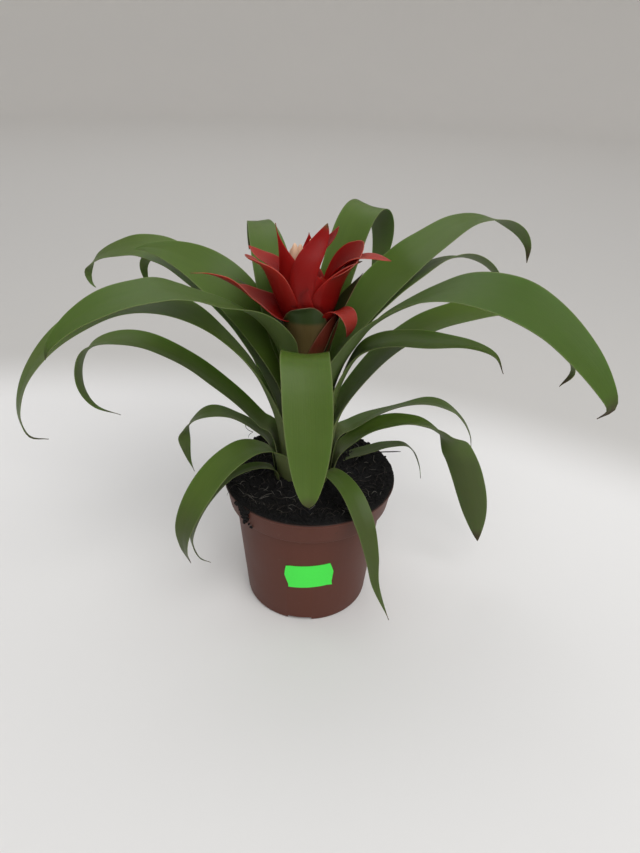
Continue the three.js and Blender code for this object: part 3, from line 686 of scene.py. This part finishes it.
def blade(azimuth, spine, width, roll=(0, 0), cup=45, arc=SHEATH_ARC, root=0.8, broadest=0.6, taper=1.0,
          rows=110, columns=18, thickness=LEAF_THICKNESS, margin=MARGIN_THICKNESS, ripple=0.0, crease=0.1,
          dry=0.96, seed=0):
    """A thin arched blade by the solids' own rule, with finer sections. Its spine is a list of
    reach from the stem, height, and any sway to one side. Returns its vertices, faces, places
    across and along it for the veins, and its zones: pale sheath, dry tip, underside, margin."""
    a = math.radians(azimuth)
    outwards = np.array([math.cos(a), math.sin(a), 0])
    sideways = np.array([-math.sin(a), math.cos(a), 0])
    points = [outwards * p[0] + sideways * (p[2] if len(p) > 2 else 0) + (0, 0, p[1]) for p in spine]
    line, tangent, distance = curve_through(points, rows)
    t = distance / distance[-1]
    side = sideways - tangent * (tangent @ sideways)[:, None]
    side /= np.linalg.norm(side, axis=1, keepdims=True)
    turn = np.radians(along(roll, t))[:, None]
    side = side * np.cos(turn) + np.cross(tangent, side) * np.sin(turn)
    face = np.cross(tangent, side)
    reach = np.hypot(line[:, 0], line[:, 1])
    span = np.maximum(np.minimum(width * width_share(t, root, broadest, taper), reach * arc), 0.35)
    wrapped = span / reach
    bend = wrapped + (math.radians(cup) * (1 - 0.6 * t) - wrapped) * smooth(reach, *UNWRAPS_BETWEEN)
    radius = span / bend
    u = np.sin(np.linspace(-1, 1, columns + 1) * math.pi / 2)
    ring_u = np.concatenate([u, [1.0], u[::-1], [-1.0]])
    over = np.concatenate([np.ones(columns + 1), [0], -np.ones(columns + 1), [0]])
    under = (1 - over) / 2
    beyond = np.where(over == 0, margin * 0.45, 0.0) * np.sign(ring_u)
    angle = ring_u[None, :] * bend[:, None] / 2
    up = face[:, None, :] * np.cos(angle)[..., None] - side[:, None, :] * np.sin(angle)[..., None]
    flat = side[:, None, :] * np.cos(angle)[..., None] + face[:, None, :] * np.sin(angle)[..., None]
    half = (thickness + (margin - thickness) * ring_u**4) / 2
    half = half[None, :] * np.minimum(1, 0.35 + span / 6)[:, None]
    draw = np.random.default_rng(seed)
    phases = draw.uniform(0, 2 * math.pi, 4)
    free = smooth(reach, *SWAYS_BETWEEN)[:, None] * ripple * (span / width)[:, None]
    sway = np.sin(distance / 7.5 + phases[0]) * 0.6 + np.sin(distance / 4.1 + phases[1]) * 0.3
    other = np.sin(distance / 9.5 + phases[2]) * 0.6 + np.sin(distance / 5.3 + phases[3]) * 0.3
    wave = np.where(ring_u > 0, sway[:, None], other[:, None]) * ring_u**2 * free
    groove = -crease * np.exp(-((ring_u / 0.14) ** 2))[None, :] * smooth(t, 0.05, 0.3)[:, None]
    lift = over * half + wave + groove
    middle = line[:, None, :] + face[:, None, :] * radius[:, None, None] - up * radius[:, None, None]
    vertices = middle + up * lift[..., None] - flat * beyond[None, :, None]
    n = len(ring_u)
    faces = flipped(ring_faces(rows, n))
    faces += [tuple(range(n)), tuple(range((rows - 1) * n, rows * n))[::-1]]
    across = ring_u[None, :] * span[:, None] / 2 * MM
    down = np.repeat(distance[:, None] * MM, n, 1)
    sheath = (1 - smooth(line[:, 2], *SHEATH_FADES_UP)) * (1 - smooth(reach, *SHEATH_FADES_OUT))
    pale = np.repeat(sheath[:, None], n, 1)
    dried = np.repeat(smooth(t, dry - 0.02, dry + 0.025)[:, None], n, 1)
    margins = np.repeat(smooth(np.abs(ring_u), 0.93, 1.0)[None, :], rows, 0)
    beneath = np.repeat(under[None, :], rows, 0)
    zones = np.stack([pale, dried, beneath, margins], 2).reshape(-1, 4)
    lines = np.stack([across, down], 2).reshape(-1, 2)
    return vertices.reshape(-1, 3) + (PLANT_X, 0, 0), faces, lines, zones


def bladed(name, blades, tones):
    """One mesh of blades with their vein places, zones and tones on its points."""
    vertices, faces, lines, zones, tone, start = [], [], [], [], [], 0
    for (points, sides, veins, parts), shade in zip(blades, tones):
        vertices.append(points)
        faces.extend(tuple(i + start for i in side) for side in sides)
        lines.append(veins)
        zones.append(parts)
        tone.append(np.full(len(points), shade))
        start += len(points)
    made = mesh_object(name, np.vstack(vertices) * MM, faces)
    for title, kind, field, values in (
        ("veins", "FLOAT2", "vector", np.vstack(lines).ravel()),
        ("zones", "FLOAT_COLOR", "color", np.vstack(zones).ravel()),
        ("tone", "FLOAT", "value", np.concatenate(tone)),
    ):
        made.data.attributes.new(title, kind, "POINT").data.foreach_set(field, values)
    return made


# Each leaf's shade is how far it is laid over with the darker green.
LEAVES = [
    dict(name="leaf_soil_right", shade=0.7, azimuth=20, width=7.5, taper=1.5, root=0.5, broadest=0.3,
         spine=[(17.5, 74, 1.5), (21, 75.4, 4.5), (26, 76, 6.5), (31.5, 77, 6.5), (36, 78.6, 5),
                (40.4, 80.1, 4), (47, 82.5, 2), (56.5, 83), (61.7, 79.7), (65.4, 74.7), (69.3, 65),
                (71, 57)]),
    dict(name="leaf_soil_left", shade=0.6, azimuth=207, width=7.5, taper=1.3,
         spine=[(16.6, 80.5), (22, 84.8), (30, 86.2), (41, 83.7), (52, 74.5), (60, 62), (63, 49),
                (60, 37), (54, 31)]),
    dict(name="leaf_low_front_right", shade=0.5, azimuth=304, width=11, taper=1.2, broadest=0.45,
         spine=[(16.5, 82), (21.5, 88), (32.5, 90), (44, 87), (55, 77), (62, 63), (67, 48), (79, 36)]),
    dict(name="leaf_low_back", shade=0.4, azimuth=96, width=18, taper=1.1,
         spine=[(18.5, 98), (30, 116), (46, 130), (64, 136), (80, 131), (91, 118), (95, 103)]),
    dict(name="leaf_low_left", shade=0.1, azimuth=172, width=11, taper=1.3,
         roll=(0, 0, 5, 10, -10, 5, 70, 80),
         spine=[(18, 91), (27, 100), (40, 105.5), (51, 105.5), (60, 99), (65, 90), (64, 77), (61, 67)]),
    dict(name="leaf_low_front_left", shade=0.1, azimuth=224, width=17, taper=0.9,
         spine=[(16.5, 90), (25, 100), (38, 105), (53, 101), (66, 91), (75, 77), (76, 65), (73, 54)]),
    dict(name="leaf_broad_right", shade=0.1, azimuth=5, width=17, taper=0.8, broadest=0.75, cup=80,
         roll=(0, 0, 0, 0, -8, -22, -72, -80, -80, -80, -80),
         spine=[(18, 87), (26, 96), (37, 103), (52, 105.5), (66, 101.5), (78, 91), (87, 76), (93, 60),
                (98, 43), (102, 25)]),
    dict(name="leaf_low_right", shade=0.3, azimuth=18, width=13, roll=(0, 0, -26, 8, 20),
         spine=[(16.5, 95), (26, 101), (40, 106), (56, 108.5), (70, 108), (82, 103), (91, 94), (97, 84),
                (99, 76)]),
    dict(name="leaf_mid_left", shade=0.1, azimuth=174, width=18, cup=80, taper=1.4,
         spine=[(16.6, 98), (24, 104.5), (39, 118.5), (57, 132), (77, 141.5), (95, 143), (109, 138),
                (116, 127), (117, 114), (111, 104), (98, 100)]),
    dict(name="leaf_right", shade=0, azimuth=5, width=25, taper=0.9,
         spine=[(15.5, 103), (22, 122), (36, 142.5), (52, 156), (70, 164), (90, 168), (110, 162),
                (125, 148), (134, 135), (129, 126)]),
    dict(name="leaf_back_left", shade=0.3, azimuth=144, width=15.5, taper=0.9, roll=(0, 0, 12, 20, 20),
         dry=1.1,
         spine=[(15, 101), (23, 123), (38, 144), (59, 162), (77, 170.5), (93, 173), (105, 171),
                (112.5, 166), (115, 161), (114, 155), (113, 149)]),
    dict(name="leaf_long_left", shade=0, azimuth=198, width=21, roll=(0, 0, -3, -11, -8, -11, -15),
         spine=[(13.4, 100), (18.5, 120), (27, 139), (40, 156), (56, 170), (76, 176), (98, 170.5),
                (115, 159.5), (126.5, 145), (132, 129), (130, 117), (122, 114)]),
    dict(name="leaf_left_under", shade=0.1, azimuth=151, width=21, taper=0.9, dry=1.1,
         roll=(0, 0, 0, -4, -8, -10, -12, -20, -28, -30, 60),
         spine=[(12, 105), (19, 127), (33, 148), (50, 162.5), (68, 173), (89.5, 179), (106, 178),
                (121.8, 173), (133, 167.5), (139.5, 162), (143, 156), (141.5, 151), (138.4, 148.9)]),
    dict(name="leaf_mid_right", shade=0, azimuth=345, width=16, cup=110, ripple=1.0,
         roll=(0, 0, 10, 10),
         spine=[(14, 110), (17.5, 130), (25, 147), (34, 154), (46, 157.5), (62, 159.5), (76, 160),
                (87, 157), (92, 149)]),
    dict(name="leaf_slender_right", shade=0.2, azimuth=27, width=17, taper=1.2, roll=(0, 0, 0, -20, 20),
         spine=[(12, 110), (15.6, 132), (26, 153), (41, 167), (56, 176), (72, 182), (87, 182.5),
                (101, 177), (113, 166), (119, 156), (115, 148)]),
    dict(name="leaf_high_left", shade=0.3, azimuth=160, width=25, taper=0.9, dry=1.1,
         roll=(0, -3, -14, -32, -28),
         spine=[(10.4, 115), (16.5, 137), (26, 153.5), (38, 168), (54, 179), (70, 184), (84, 184.5),
                (93, 182.5)]),
    dict(name="leaf_long_right", shade=0.7, azimuth=330, width=25, taper=0.75, broadest=0.65,
         roll=(0, 0, 0, 22, 28),
         spine=[(10.8, 115), (16.6, 137), (24, 152.5), (34, 167), (50, 180), (70, 191), (90, 192.5),
                (108, 187), (124, 176), (134, 165.5), (138, 158), (134, 152)]),
    dict(name="leaf_front", shade=0.3, azimuth=270, width=22, taper=0.5, broadest=0.72, dry=0.985,
         spine=[(8.7, 115), (12.8, 137), (23, 153.5), (35, 158), (45, 149, 1.5), (54, 130, 3),
                (61, 113, 3.6), (66, 102, 4)]),
    dict(name="leaf_broad_left", shade=0.5, azimuth=209, width=25, taper=0.8, dry=0.985,
         roll=(0, 0, 0, 10, 12, 2, -8, -18, -20),
         spine=[(7.5, 115), (11.2, 140), (18.5, 158), (30, 170), (48, 177.5), (58, 182), (70, 185.5),
                (88, 184), (104, 178), (114.5, 169.5), (117, 163.5)]),
    dict(name="leaf_high_right", shade=0.3, azimuth=32, width=25, taper=0.9, broadest=0.5,
         roll=(0, 0, 8, 0, -35),
         spine=[(9.1, 112), (12, 130), (19.5, 148.5), (31, 163.5), (48, 177.5), (66, 188.5), (88, 197.5),
                (110, 197), (128, 189.5), (138, 180), (140, 170)]),
    dict(name="leaf_back", shade=0.3, azimuth=113, width=23, taper=0.8, broadest=0.4,
         spine=[(8.2, 112), (12.8, 136, 2), (21, 157, 5), (32, 174, 6), (45, 184.5, 5), (60, 189.5, 3),
                (74, 189, 1), (86, 181), (94, 168)]),
    dict(name="leaf_back_right", shade=0.2, azimuth=57, width=19, taper=0.8, broadest=0.72,
         roll=(0, 0, 5, 12),
         spine=[(7.3, 115), (10.4, 140), (18, 163), (27, 182), (36, 197), (45, 204), (54, 204),
                (62, 197), (66, 185), (63, 172), (57, 162)]),
]


def blade_places(tree):
    """Sockets for a blade's vein places, its zones and its tone."""
    veins = node(tree, "Attribute", {}, attribute_name="veins").outputs["Vector"]
    zones = node(tree, "Attribute", {}, attribute_name="zones")
    pale, dried, beneath = node(tree, "SeparateColor", {"Color": zones.outputs["Color"]}).outputs
    tone = node(tree, "Attribute", {}, attribute_name="tone").outputs["Fac"]
    return veins, pale, dried, beneath, zones.outputs["Alpha"], tone


leaf_skin, tree, shader, place = surface(
    "leaf_skin",
    specular_ior_level=0.2,
    subsurface_weight=0.25,
    subsurface_radius=(0.5, 1.0, 0.15),
    subsurface_scale=0.0018,
)
veins, pale, dried, beneath, margins, tone = blade_places(tree)
ribs = cloudy(tree, stretched(tree, veins, (2600, 26, 1)), 1, 3, 0.6)
bands = cloudy(tree, stretched(tree, veins, (420, 9, 1)), 1, 2)
clouds = cloudy(tree, place, 42, 3)
fleck_places = {"Vector": stretched(tree, veins, (70, 28, 1)), "Scale": 1.0}
from_fleck = node(tree, "TexVoronoi", fleck_places).outputs["Distance"]
flecks = sums(tree, "SUBTRACT", 1, spread(tree, from_fleck, 0.03, 0.06))
near_soil = spread(tree, level(tree, place), 94 * MM, 76 * MM)
colour = tinted(tree, clouds, *LEAF_GREENS)
colour = tinted(tree, bands, colour, BAND_GREEN, 0.45)
colour = tinted(tree, spread(tree, ribs, 0.35, 0.7), colour, VEIN_GREEN, 0.28)
colour = tinted(tree, tone, colour, SHADED_GREEN)
colour = tinted(tree, beneath, colour, UNDERSIDE_GREY, 0.55)
# The paler sheaths are partly their own pale colour and partly painted light that lifts the shaded crown.
colour = tinted(tree, pale, colour, SHEATH_PALE_AND_PAINTED_LIGHT, 0.85)
# Painted shade: the leaves darken towards their feet near the soil.
colour = tinted(tree, near_soil, colour, LEAF_FOOT_PAINTED_SHADE, 0.75)
colour = tinted(tree, margins, colour, MARGIN_PALE, 0.45)
colour = tinted(tree, flecks, colour, FLECK_PALE, 0.5)
colour = tinted(tree, dried, colour, DRIED_BROWN)
shine = sums(tree, "ADD", sums(tree, "MULTIPLY", beneath, 0.12), sums(tree, "MULTIPLY", clouds, 0.16))
dullness = sums(tree, "ADD", shine, sums(tree, "ADD", sums(tree, "MULTIPLY", dried, 0.3), 0.36))
ridges = raised(tree, ribs, 0.00010, 0.55)
coat(tree, shader, colour, raised(tree, cloudy(tree, place, 260, 3), 0.0003, 0.25, ridges), dullness)

# From the innermost leaf outwards, each sheath sits outside those that it wraps.
for i in range(len(LEAVES) - 1, -1, -1):
    seat = INNERMOST_SHEATH
    for inner in LEAVES[i + 1:]:
        apart = abs((LEAVES[i]["azimuth"] - inner["azimuth"] + 540) % 360 - 180)
        if apart < math.degrees(SHEATH_ARC) + 4:
            seat = max(seat, inner["seat"] + SHEATH_STEP)
    LEAVES[i]["seat"] = seat
for i, leaf in enumerate(LEAVES):
    shape = {key: value for key, value in leaf.items() if key not in ("name", "shade", "seat", "spine")}
    shape.setdefault("ripple", LEAF_SWAY)
    made = blade(spine=[(leaf["seat"], SHEATH_ROOT), *leaf["spine"]], seed=i, **shape)
    piece = bladed(leaf["name"] + "_blade", [made], [leaf["shade"]])
    dress(piece, leaf_skin, "leaf", leaf["name"])

# Stalk bracts
# Smaller leaves that grow from the stalk and wrap it under the head. The front one is brown-green
# with a dark bent top, two beside it are reddish, and two dark ones stand out at the sides.
WRAP = dict(arc=math.radians(120), cup=70, root=0.6, rows=60, columns=14, crease=0, dry=0.97)
GREEN_TOPPED, REDDISH, DARK = 0.0, 0.5, 1.0
BRACT_BROWNS = (0.088, 0.056, 0.020), (0.140, 0.100, 0.034)
BRACT_FOOT = (0.130, 0.090, 0.038)
BRACT_RED = (0.150, 0.022, 0.012)
BRACT_GREEN = (0.030, 0.050, 0.012)
BRACT_MARGIN = (0.240, 0.110, 0.070)
STALK_BRACTS = [
    dict(tone=GREEN_TOPPED, azimuth=264, width=23, taper=0.5, broadest=0.75,
         spine=[(4.1, 118), (7.2, 131), (9.8, 146), (11.8, 156), (14.2, 165), (16, 171, -1),
                (18, 173.5, -2.5)]),
    dict(tone=REDDISH, azimuth=205, width=16, taper=0.9,
         spine=[(4.1, 118), (6.6, 131), (9, 145), (10.5, 153), (13, 160)]),
    dict(tone=REDDISH, azimuth=322, width=18, taper=0.6,
         spine=[(4.1, 118), (7, 131), (10, 146), (13, 156), (16.2, 169)]),
    dict(tone=GREEN_TOPPED, azimuth=35, width=18, taper=0.9,
         spine=[(4.1, 118), (6.8, 131), (9, 146), (10.5, 156), (13, 164)]),
    dict(tone=GREEN_TOPPED, azimuth=110, width=20, taper=0.9,
         spine=[(4.1, 118), (6.8, 131), (9, 146), (10.5, 156), (13.5, 164)]),
    dict(tone=DARK, azimuth=343, width=14, taper=1.1, roll=(0, 0, 25, 30, 25),
         spine=[(4.1, 120), (7.5, 138), (11, 154), (15, 168), (19.5, 178), (25, 187.5)]),
    dict(tone=DARK, azimuth=172, width=12, taper=1.2,
         spine=[(4.1, 120), (7, 138), (10, 152), (17, 165), (26, 173), (34, 179)]),
]


def whorl(name, bracts, like, seed):
    """One mesh of bracts that share a form, each with its own values and tone."""
    blades, tones = [], []
    for i, bract in enumerate(bracts):
        own = {key: value for key, value in bract.items() if key != "tone"}
        blades.append(blade(**{**like, "seed": seed + i, **own}))
        tones.append(bract["tone"])
    return bladed(name, blades, tones)


stalk_bracts = whorl("stalk_bract_blades", STALK_BRACTS, WRAP, 40)

bract_skin, tree, shader, place = surface(
    "stalk_bract_skin",
    specular_ior_level=0.4,
    subsurface_weight=0.06,
    subsurface_radius=(1.0, 0.6, 0.2),
    subsurface_scale=0.0009,
)
veins, pale, dried, beneath, margins, tone = blade_places(tree)
height = level(tree, place)
ribs = cloudy(tree, stretched(tree, veins, (2400, 40, 1)), 1, 3, 0.6)
reddish = sums(tree, "MULTIPLY", spread(tree, tone, 0.2, 0.4), spread(tree, height, 140 * MM, 156 * MM))
bent_top = spread(tree, height, 163.5 * MM, 166.5 * MM)
# Painted shade: a bract's dark green top is partly its inner face's own green and partly painted shade
# under its bent tip.
green_top_and_shade = sums(tree, "MULTIPLY", bent_top, spread(tree, tone, 0.3, 0.1))
colour = tinted(tree, ribs, *BRACT_BROWNS)
colour = tinted(tree, spread(tree, height, 152 * MM, 140 * MM), colour, BRACT_FOOT)
colour = tinted(tree, reddish, colour, BRACT_RED)
colour = tinted(tree, sums(tree, "MAXIMUM", green_top_and_shade, spread(tree, tone, 0.7, 0.9)), colour, BRACT_GREEN)
colour = tinted(tree, margins, colour, BRACT_MARGIN, 0.5)
dullness = sums(tree, "ADD", 0.4, sums(tree, "MULTIPLY", ribs, 0.15))
coat(tree, shader, colour, raised(tree, ribs, 0.00012, 0.6), dullness)
dress(stalk_bracts, bract_skin, "stalk_bract", "stalk_bracts")

# Red bracts
# The head of the plant: stiff waxy scarlet bracts in close layers, lighter towards their margins,
# some with a dark green hooked tip. They grow out of a short core on top of the stalk.
PETAL = dict(arc=math.radians(120), cup=70, root=0.7, rows=48, columns=14, thickness=0.6, margin=0.3,
             crease=0, ripple=0.5, dry=0.965)
GREEN_TIP, RED_TIP = 1.0, 0.25
SCARLETS = (0.165, 0.003, 0.0025), (0.235, 0.006, 0.005)
RIB_RED = (0.230, 0.012, 0.008)
OUTER_RED = (0.330, 0.048, 0.034)
MARGIN_ROSE = (0.420, 0.120, 0.090)
HOOK_GREEN = (0.040, 0.052, 0.016)
RED_BRACTS = [
    dict(tone=GREEN_TIP, azimuth=196, width=21, taper=2.2, broadest=0.25,
         roll=(0, -15, -5, 30, 35),
         spine=[(4, 157), (9.5, 162), (17, 167.5), (25, 174), (32.5, 179.5), (39, 184), (46, 186.5),
                (53, 187)]),
    dict(tone=RED_TIP, azimuth=165, width=14, taper=0.8,
         spine=[(4, 166), (9, 178), (14, 184), (19, 187.5), (24, 190), (29, 193.5)]),
    dict(tone=RED_TIP, azimuth=214, width=22, taper=0.3, broadest=0.5,
         spine=[(4, 155), (10, 162), (14, 170), (17, 178), (20, 185.5), (23.5, 190.5), (27.5, 193.5),
                (31, 195.5)]),
    dict(tone=GREEN_TIP, azimuth=235, width=23, cup=90, taper=2.1, broadest=0.33,
         spine=[(4, 155, 0), (9.5, 162, 0), (13.6, 170, 0), (15, 178, 0), (14.2, 185, -0.6),
                (13.3, 191, -2.6), (12.9, 198, -5.8), (12.9, 203, -7.8), (12.9, 207.5, -9)]),
    dict(tone=GREEN_TIP, azimuth=268, width=11.5, cup=90, taper=0.75, broadest=0.62,
         spine=[(4, 157, -2), (10.3, 162, -2), (13.8, 170, -2), (14.8, 179, -2.2), (14.2, 187, -1.6),
                (12.4, 193.5, 0.4), (9.9, 198, 3), (8, 201.5, 5.1), (7, 205, 6.7), (6.4, 208.5, 7.8)]),
    dict(tone=RED_TIP, azimuth=262, width=23, cup=90, taper=0.5, broadest=0.7,
         spine=[(4, 155), (9.5, 162), (12.8, 170), (13.8, 178), (13.4, 184), (12.6, 189)]),
    dict(tone=RED_TIP, azimuth=20, width=12, broadest=0.5, taper=0.8,
         spine=[(3, 172), (3, 187), (4.4, 191.5), (7.2, 195.5), (10.4, 199.5), (13.5, 204.5)]),
    dict(tone=RED_TIP, azimuth=343, width=25, taper=0.6, broadest=0.65,
         roll=(0, 15, 30),
         spine=[(4, 160), (9, 169.5), (11.5, 178), (14.8, 185.5), (18.8, 191.5), (22.3, 196.5),
                (24.6, 201.3)]),
    dict(tone=GREEN_TIP, azimuth=328, width=26, taper=0.9, broadest=0.45,
         spine=[(4, 155), (9.8, 163), (13, 171), (15.2, 179), (18.6, 187), (22.4, 192), (27, 195)]),
    dict(tone=RED_TIP, azimuth=334, width=9, taper=0.9, broadest=0.7,
         spine=[(6, 176), (12, 185), (18, 191.5), (24, 195.3), (31, 196.5), (39, 196.4)]),
    dict(tone=RED_TIP, azimuth=316, width=11, taper=0.9,
         spine=[(4, 155), (10, 161), (14, 167), (18.5, 171.5), (23.5, 172), (26.5, 169),
                (26.6, 165), (25, 161)]),
    dict(tone=RED_TIP, azimuth=300, width=20, taper=0.8, broadest=0.5,
         spine=[(4, 156), (9.5, 162), (12.6, 170), (13, 178), (11, 186)]),
    dict(tone=RED_TIP, azimuth=90, width=15, spine=[(4, 158), (11, 169), (17, 178), (24, 183)]),
    dict(tone=RED_TIP, azimuth=118, width=14,
         spine=[(4, 158), (11, 169), (19, 178), (28, 182), (36, 181)]),
    dict(tone=RED_TIP, azimuth=55, width=14, spine=[(4, 158), (11, 168), (16, 175), (21, 180)]),
    dict(tone=RED_TIP, azimuth=62, width=9, taper=1.2,
         spine=[(3, 172), (3.4, 184, 1), (3.8, 193, 2), (4.4, 201, 3)]),
]
red_bracts = whorl("red_bract_blades", RED_BRACTS, PETAL, 70)

scarlet, tree, shader, place = surface(
    "scarlet_bract_skin",
    specular_ior_level=0.14,
    subsurface_weight=0.5,
    subsurface_radius=(1.0, 0.12, 0.08),
    subsurface_scale=0.0035,
)
veins, pale, dried, beneath, margins, tone = blade_places(tree)
ribs = cloudy(tree, stretched(tree, veins, (2300, 60, 1)), 1, 3, 0.6)
clouds = cloudy(tree, place, 110, 3)
axis = (PLANT_X * MM, 0, 0)
from_axis = node(tree, "VectorMath", {0: place, 1: axis}, operation="SUBTRACT").outputs[0]
flat = node(tree, "VectorMath", {0: from_axis, 1: (1, 1, 0)}, operation="MULTIPLY").outputs[0]
reach = node(tree, "VectorMath", {0: flat}, operation="LENGTH").outputs["Value"]
outlying = spread(tree, reach, 15.5 * MM, 26 * MM)
colour = tinted(tree, clouds, *SCARLETS)
colour = tinted(tree, ribs, colour, RIB_RED, 0.3)
colour = tinted(tree, spread(tree, reach, 14 * MM, 30 * MM), colour, OUTER_RED, 0.7)
colour = tinted(tree, sums(tree, "MULTIPLY", margins, outlying), colour, MARGIN_ROSE, 0.6)
colour = tinted(tree, sums(tree, "MULTIPLY", dried, tone), colour, HOOK_GREEN)
dullness = sums(tree, "ADD", 0.36, sums(tree, "MULTIPLY", clouds, 0.16))
coat(tree, shader, colour, raised(tree, ribs, 0.00012, 0.5), dullness)
dress(red_bracts, scarlet, "red_bract", "red_bracts")

# Head core
# The short fleshy axis inside the red bracts, hidden but for glimpses between them. It swells
# above the stalk and narrows again under the florets.
CORE_TOP = 187
CORE_REDS = (0.16, 0.006, 0.006), (0.26, 0.012, 0.010)
core_profile = softened(
    [
        (0, HEAD_BASE, 0),
        (3.4, HEAD_BASE, 0.5),
        (5.8, 156, 1),
        (7.4, 168, 2),
        (6.4, 180, 2),
        (3.8, CORE_TOP, 1),
        (0, CORE_TOP, 0),
    ]
)
core_vertices, core_faces = turned(core_profile, 48, (PLANT_X, 0))
core = mesh_object("head_core", core_vertices * MM, core_faces)
flesh, tree, shader, place = surface("core_flesh", roughness=0.5)
colour = tinted(tree, cloudy(tree, place, 300, 3), *CORE_REDS)
coat(tree, shader, colour, raised(tree, cloudy(tree, place, 1500, 2), 0.0001, 0.5))
dress(core, flesh, "red_bract")

# Floret tips
# Closed cream florets that stand in the cup of the head. Each one is three petals rolled
# together, so it is slightly three-sided, and it is redder towards its foot.
FLORETS = [(-6.6, -1, 198, 2.5), (-4.2, 1.2, 197, 2.3), (-8, 2, 195, 1.9), (0.2, 3, 199, 1.4)]
FLORET_FOOT = 183
FLORET_ROWS, FLORET_SIDES = 26, 36
CREAMS = (0.62, 0.36, 0.22), (0.78, 0.55, 0.38)
FLORET_RED = (0.50, 0.12, 0.07)
floret_shapes = []
for x, y, top, radius in FLORETS:
    s = np.linspace(0, 1, FLORET_ROWS)[1:-1]
    angles = np.arange(FLORET_SIDES) * 2 * math.pi / FLORET_SIDES
    petals = 1 + 0.07 * np.cos(3 * angles)[None, :] * s[:, None]
    girth = radius * np.sin(math.pi * s**0.8)[:, None] ** 0.6 * petals
    ring = np.stack([x + PLANT_X + girth * np.cos(angles), y + girth * np.sin(angles)], 2)
    z = np.repeat((FLORET_FOOT + (top - FLORET_FOOT) * s)[:, None], FLORET_SIDES, 1)
    body = np.concatenate([ring, z[..., None]], 2).reshape(-1, 3)
    ends = [[x + PLANT_X, y, FLORET_FOOT], [x + PLANT_X, y, top]]
    floret_shapes.append((np.vstack([body, ends]), capped_faces(FLORET_ROWS - 2, FLORET_SIDES)))
florets = joined("floret_buds", floret_shapes)
cream, tree, shader, place = surface(
    "floret_petal",
    roughness=0.5,
    subsurface_weight=0.25,
    subsurface_radius=(1.0, 0.7, 0.4),
    subsurface_scale=0.0012,
)
colour = tinted(tree, cloudy(tree, place, 500, 3), *CREAMS)
colour = tinted(tree, spread(tree, level(tree, place), 192 * MM, 186 * MM), colour, FLORET_RED)
coat(tree, shader, colour, raised(tree, cloudy(tree, place, 2500, 2), 0.0001, 0.4))
dress(florets, cream, "floret", "floret_tips")

# Floor and light
# A plain pale floor, palest round the plant in a painted pool of light, that curves up into a backdrop
# all round.
# Broad soft light falls from the front right, and fainter from behind, under an even pale sky.
FLOOR_RADIUS = 2.0
SWEEP = 0.7
BACKDROP_HEIGHT = 2.0
FLOOR_SIDES = 96
LIGHT_POOL_CENTRE = (-0.15, -0.40, 0)
FLOOR_FRONT, FLOOR_BACK_PAINTED_LIGHT = (0.76, 0.75, 0.735), (0.85, 0.84, 0.825)
FLOOR_PAINTED_SHADE, FLOOR_FAR_PAINTED_SHADE = (0.58, 0.565, 0.54), (0.72, 0.695, 0.655)
FLOOR_STAIN = (0.60, 0.60, 0.59)
SKY, SKY_STRENGTH = (0.955, 0.965, 1.0, 1), 0.63
LIT_POINT = Vector((0, 0, 0.08))
LAMPS = (
    ("front_sky", (0.45, -0.90, 1.20), 1.4, 16.0),
    ("back_fill", (-0.30, 0.90, 1.30), 1.2, 3.0),
)
floor_profile = [(0, 0), (0.3, 0), (0.8, 0), (FLOOR_RADIUS, 0)]
for step in range(1, 13):
    turn = step / 12 * math.pi / 2
    floor_profile.append((FLOOR_RADIUS + SWEEP * math.sin(turn), SWEEP * (1 - math.cos(turn))))
floor_profile.append((FLOOR_RADIUS + SWEEP, BACKDROP_HEIGHT))
floor_points = []
for r, z in floor_profile:
    for i in range(FLOOR_SIDES):
        angle = i * 2 * math.pi / FLOOR_SIDES
        floor_points.append((r * math.cos(angle), r * math.sin(angle), z))
floor = mesh_object("floor", floor_points, flipped(ring_faces(len(floor_profile), FLOOR_SIDES)))
ground, tree, shader, place = surface("pale_floor", roughness=0.85, specular_ior_level=0.1)
from_light_pool = node(tree, "VectorMath", {0: place, 1: LIGHT_POOL_CENTRE}, operation="DISTANCE").outputs["Value"]
# Painted light: the floor is lighter behind the plant.
colour = tinted(tree, spread(tree, level(tree, place, "Y"), -0.12, 0.16), FLOOR_FRONT, FLOOR_BACK_PAINTED_LIGHT)
# Painted shade: outside the painted pool of light round the plant the floor is darker, and far off a
# little less dark.
colour = tinted(tree, spread(tree, from_light_pool, 0.60, 0.71), colour, FLOOR_PAINTED_SHADE)
colour = tinted(tree, spread(tree, from_light_pool, 0.9, 2.6), colour, FLOOR_FAR_PAINTED_SHADE)
colour = tinted(tree, cloudy(tree, place, 6, 2), colour, FLOOR_STAIN, 0.12)
feed(tree, shader.inputs["Base Color"], colour)
floor.data.materials.append(ground)

world = bpy.data.worlds.new("studio")
world.use_nodes = True
world.node_tree.nodes["Background"].inputs["Color"].default_value = SKY
world.node_tree.nodes["Background"].inputs["Strength"].default_value = SKY_STRENGTH
bpy.context.scene.world = world
for name, spot, size, power in LAMPS:
    lamp = bpy.data.lights.new(name, "AREA")
    lamp.shape = "DISK"
    lamp.size = size
    lamp.energy = power
    made = bpy.data.objects.new(name, lamp)
    made.location = spot
    made.rotation_euler = (LIT_POINT - Vector(spot)).to_track_quat("-Z", "Y").to_euler()
    bpy.context.scene.collection.objects.link(made)
bpy.context.scene.view_settings.view_transform = "Standard"
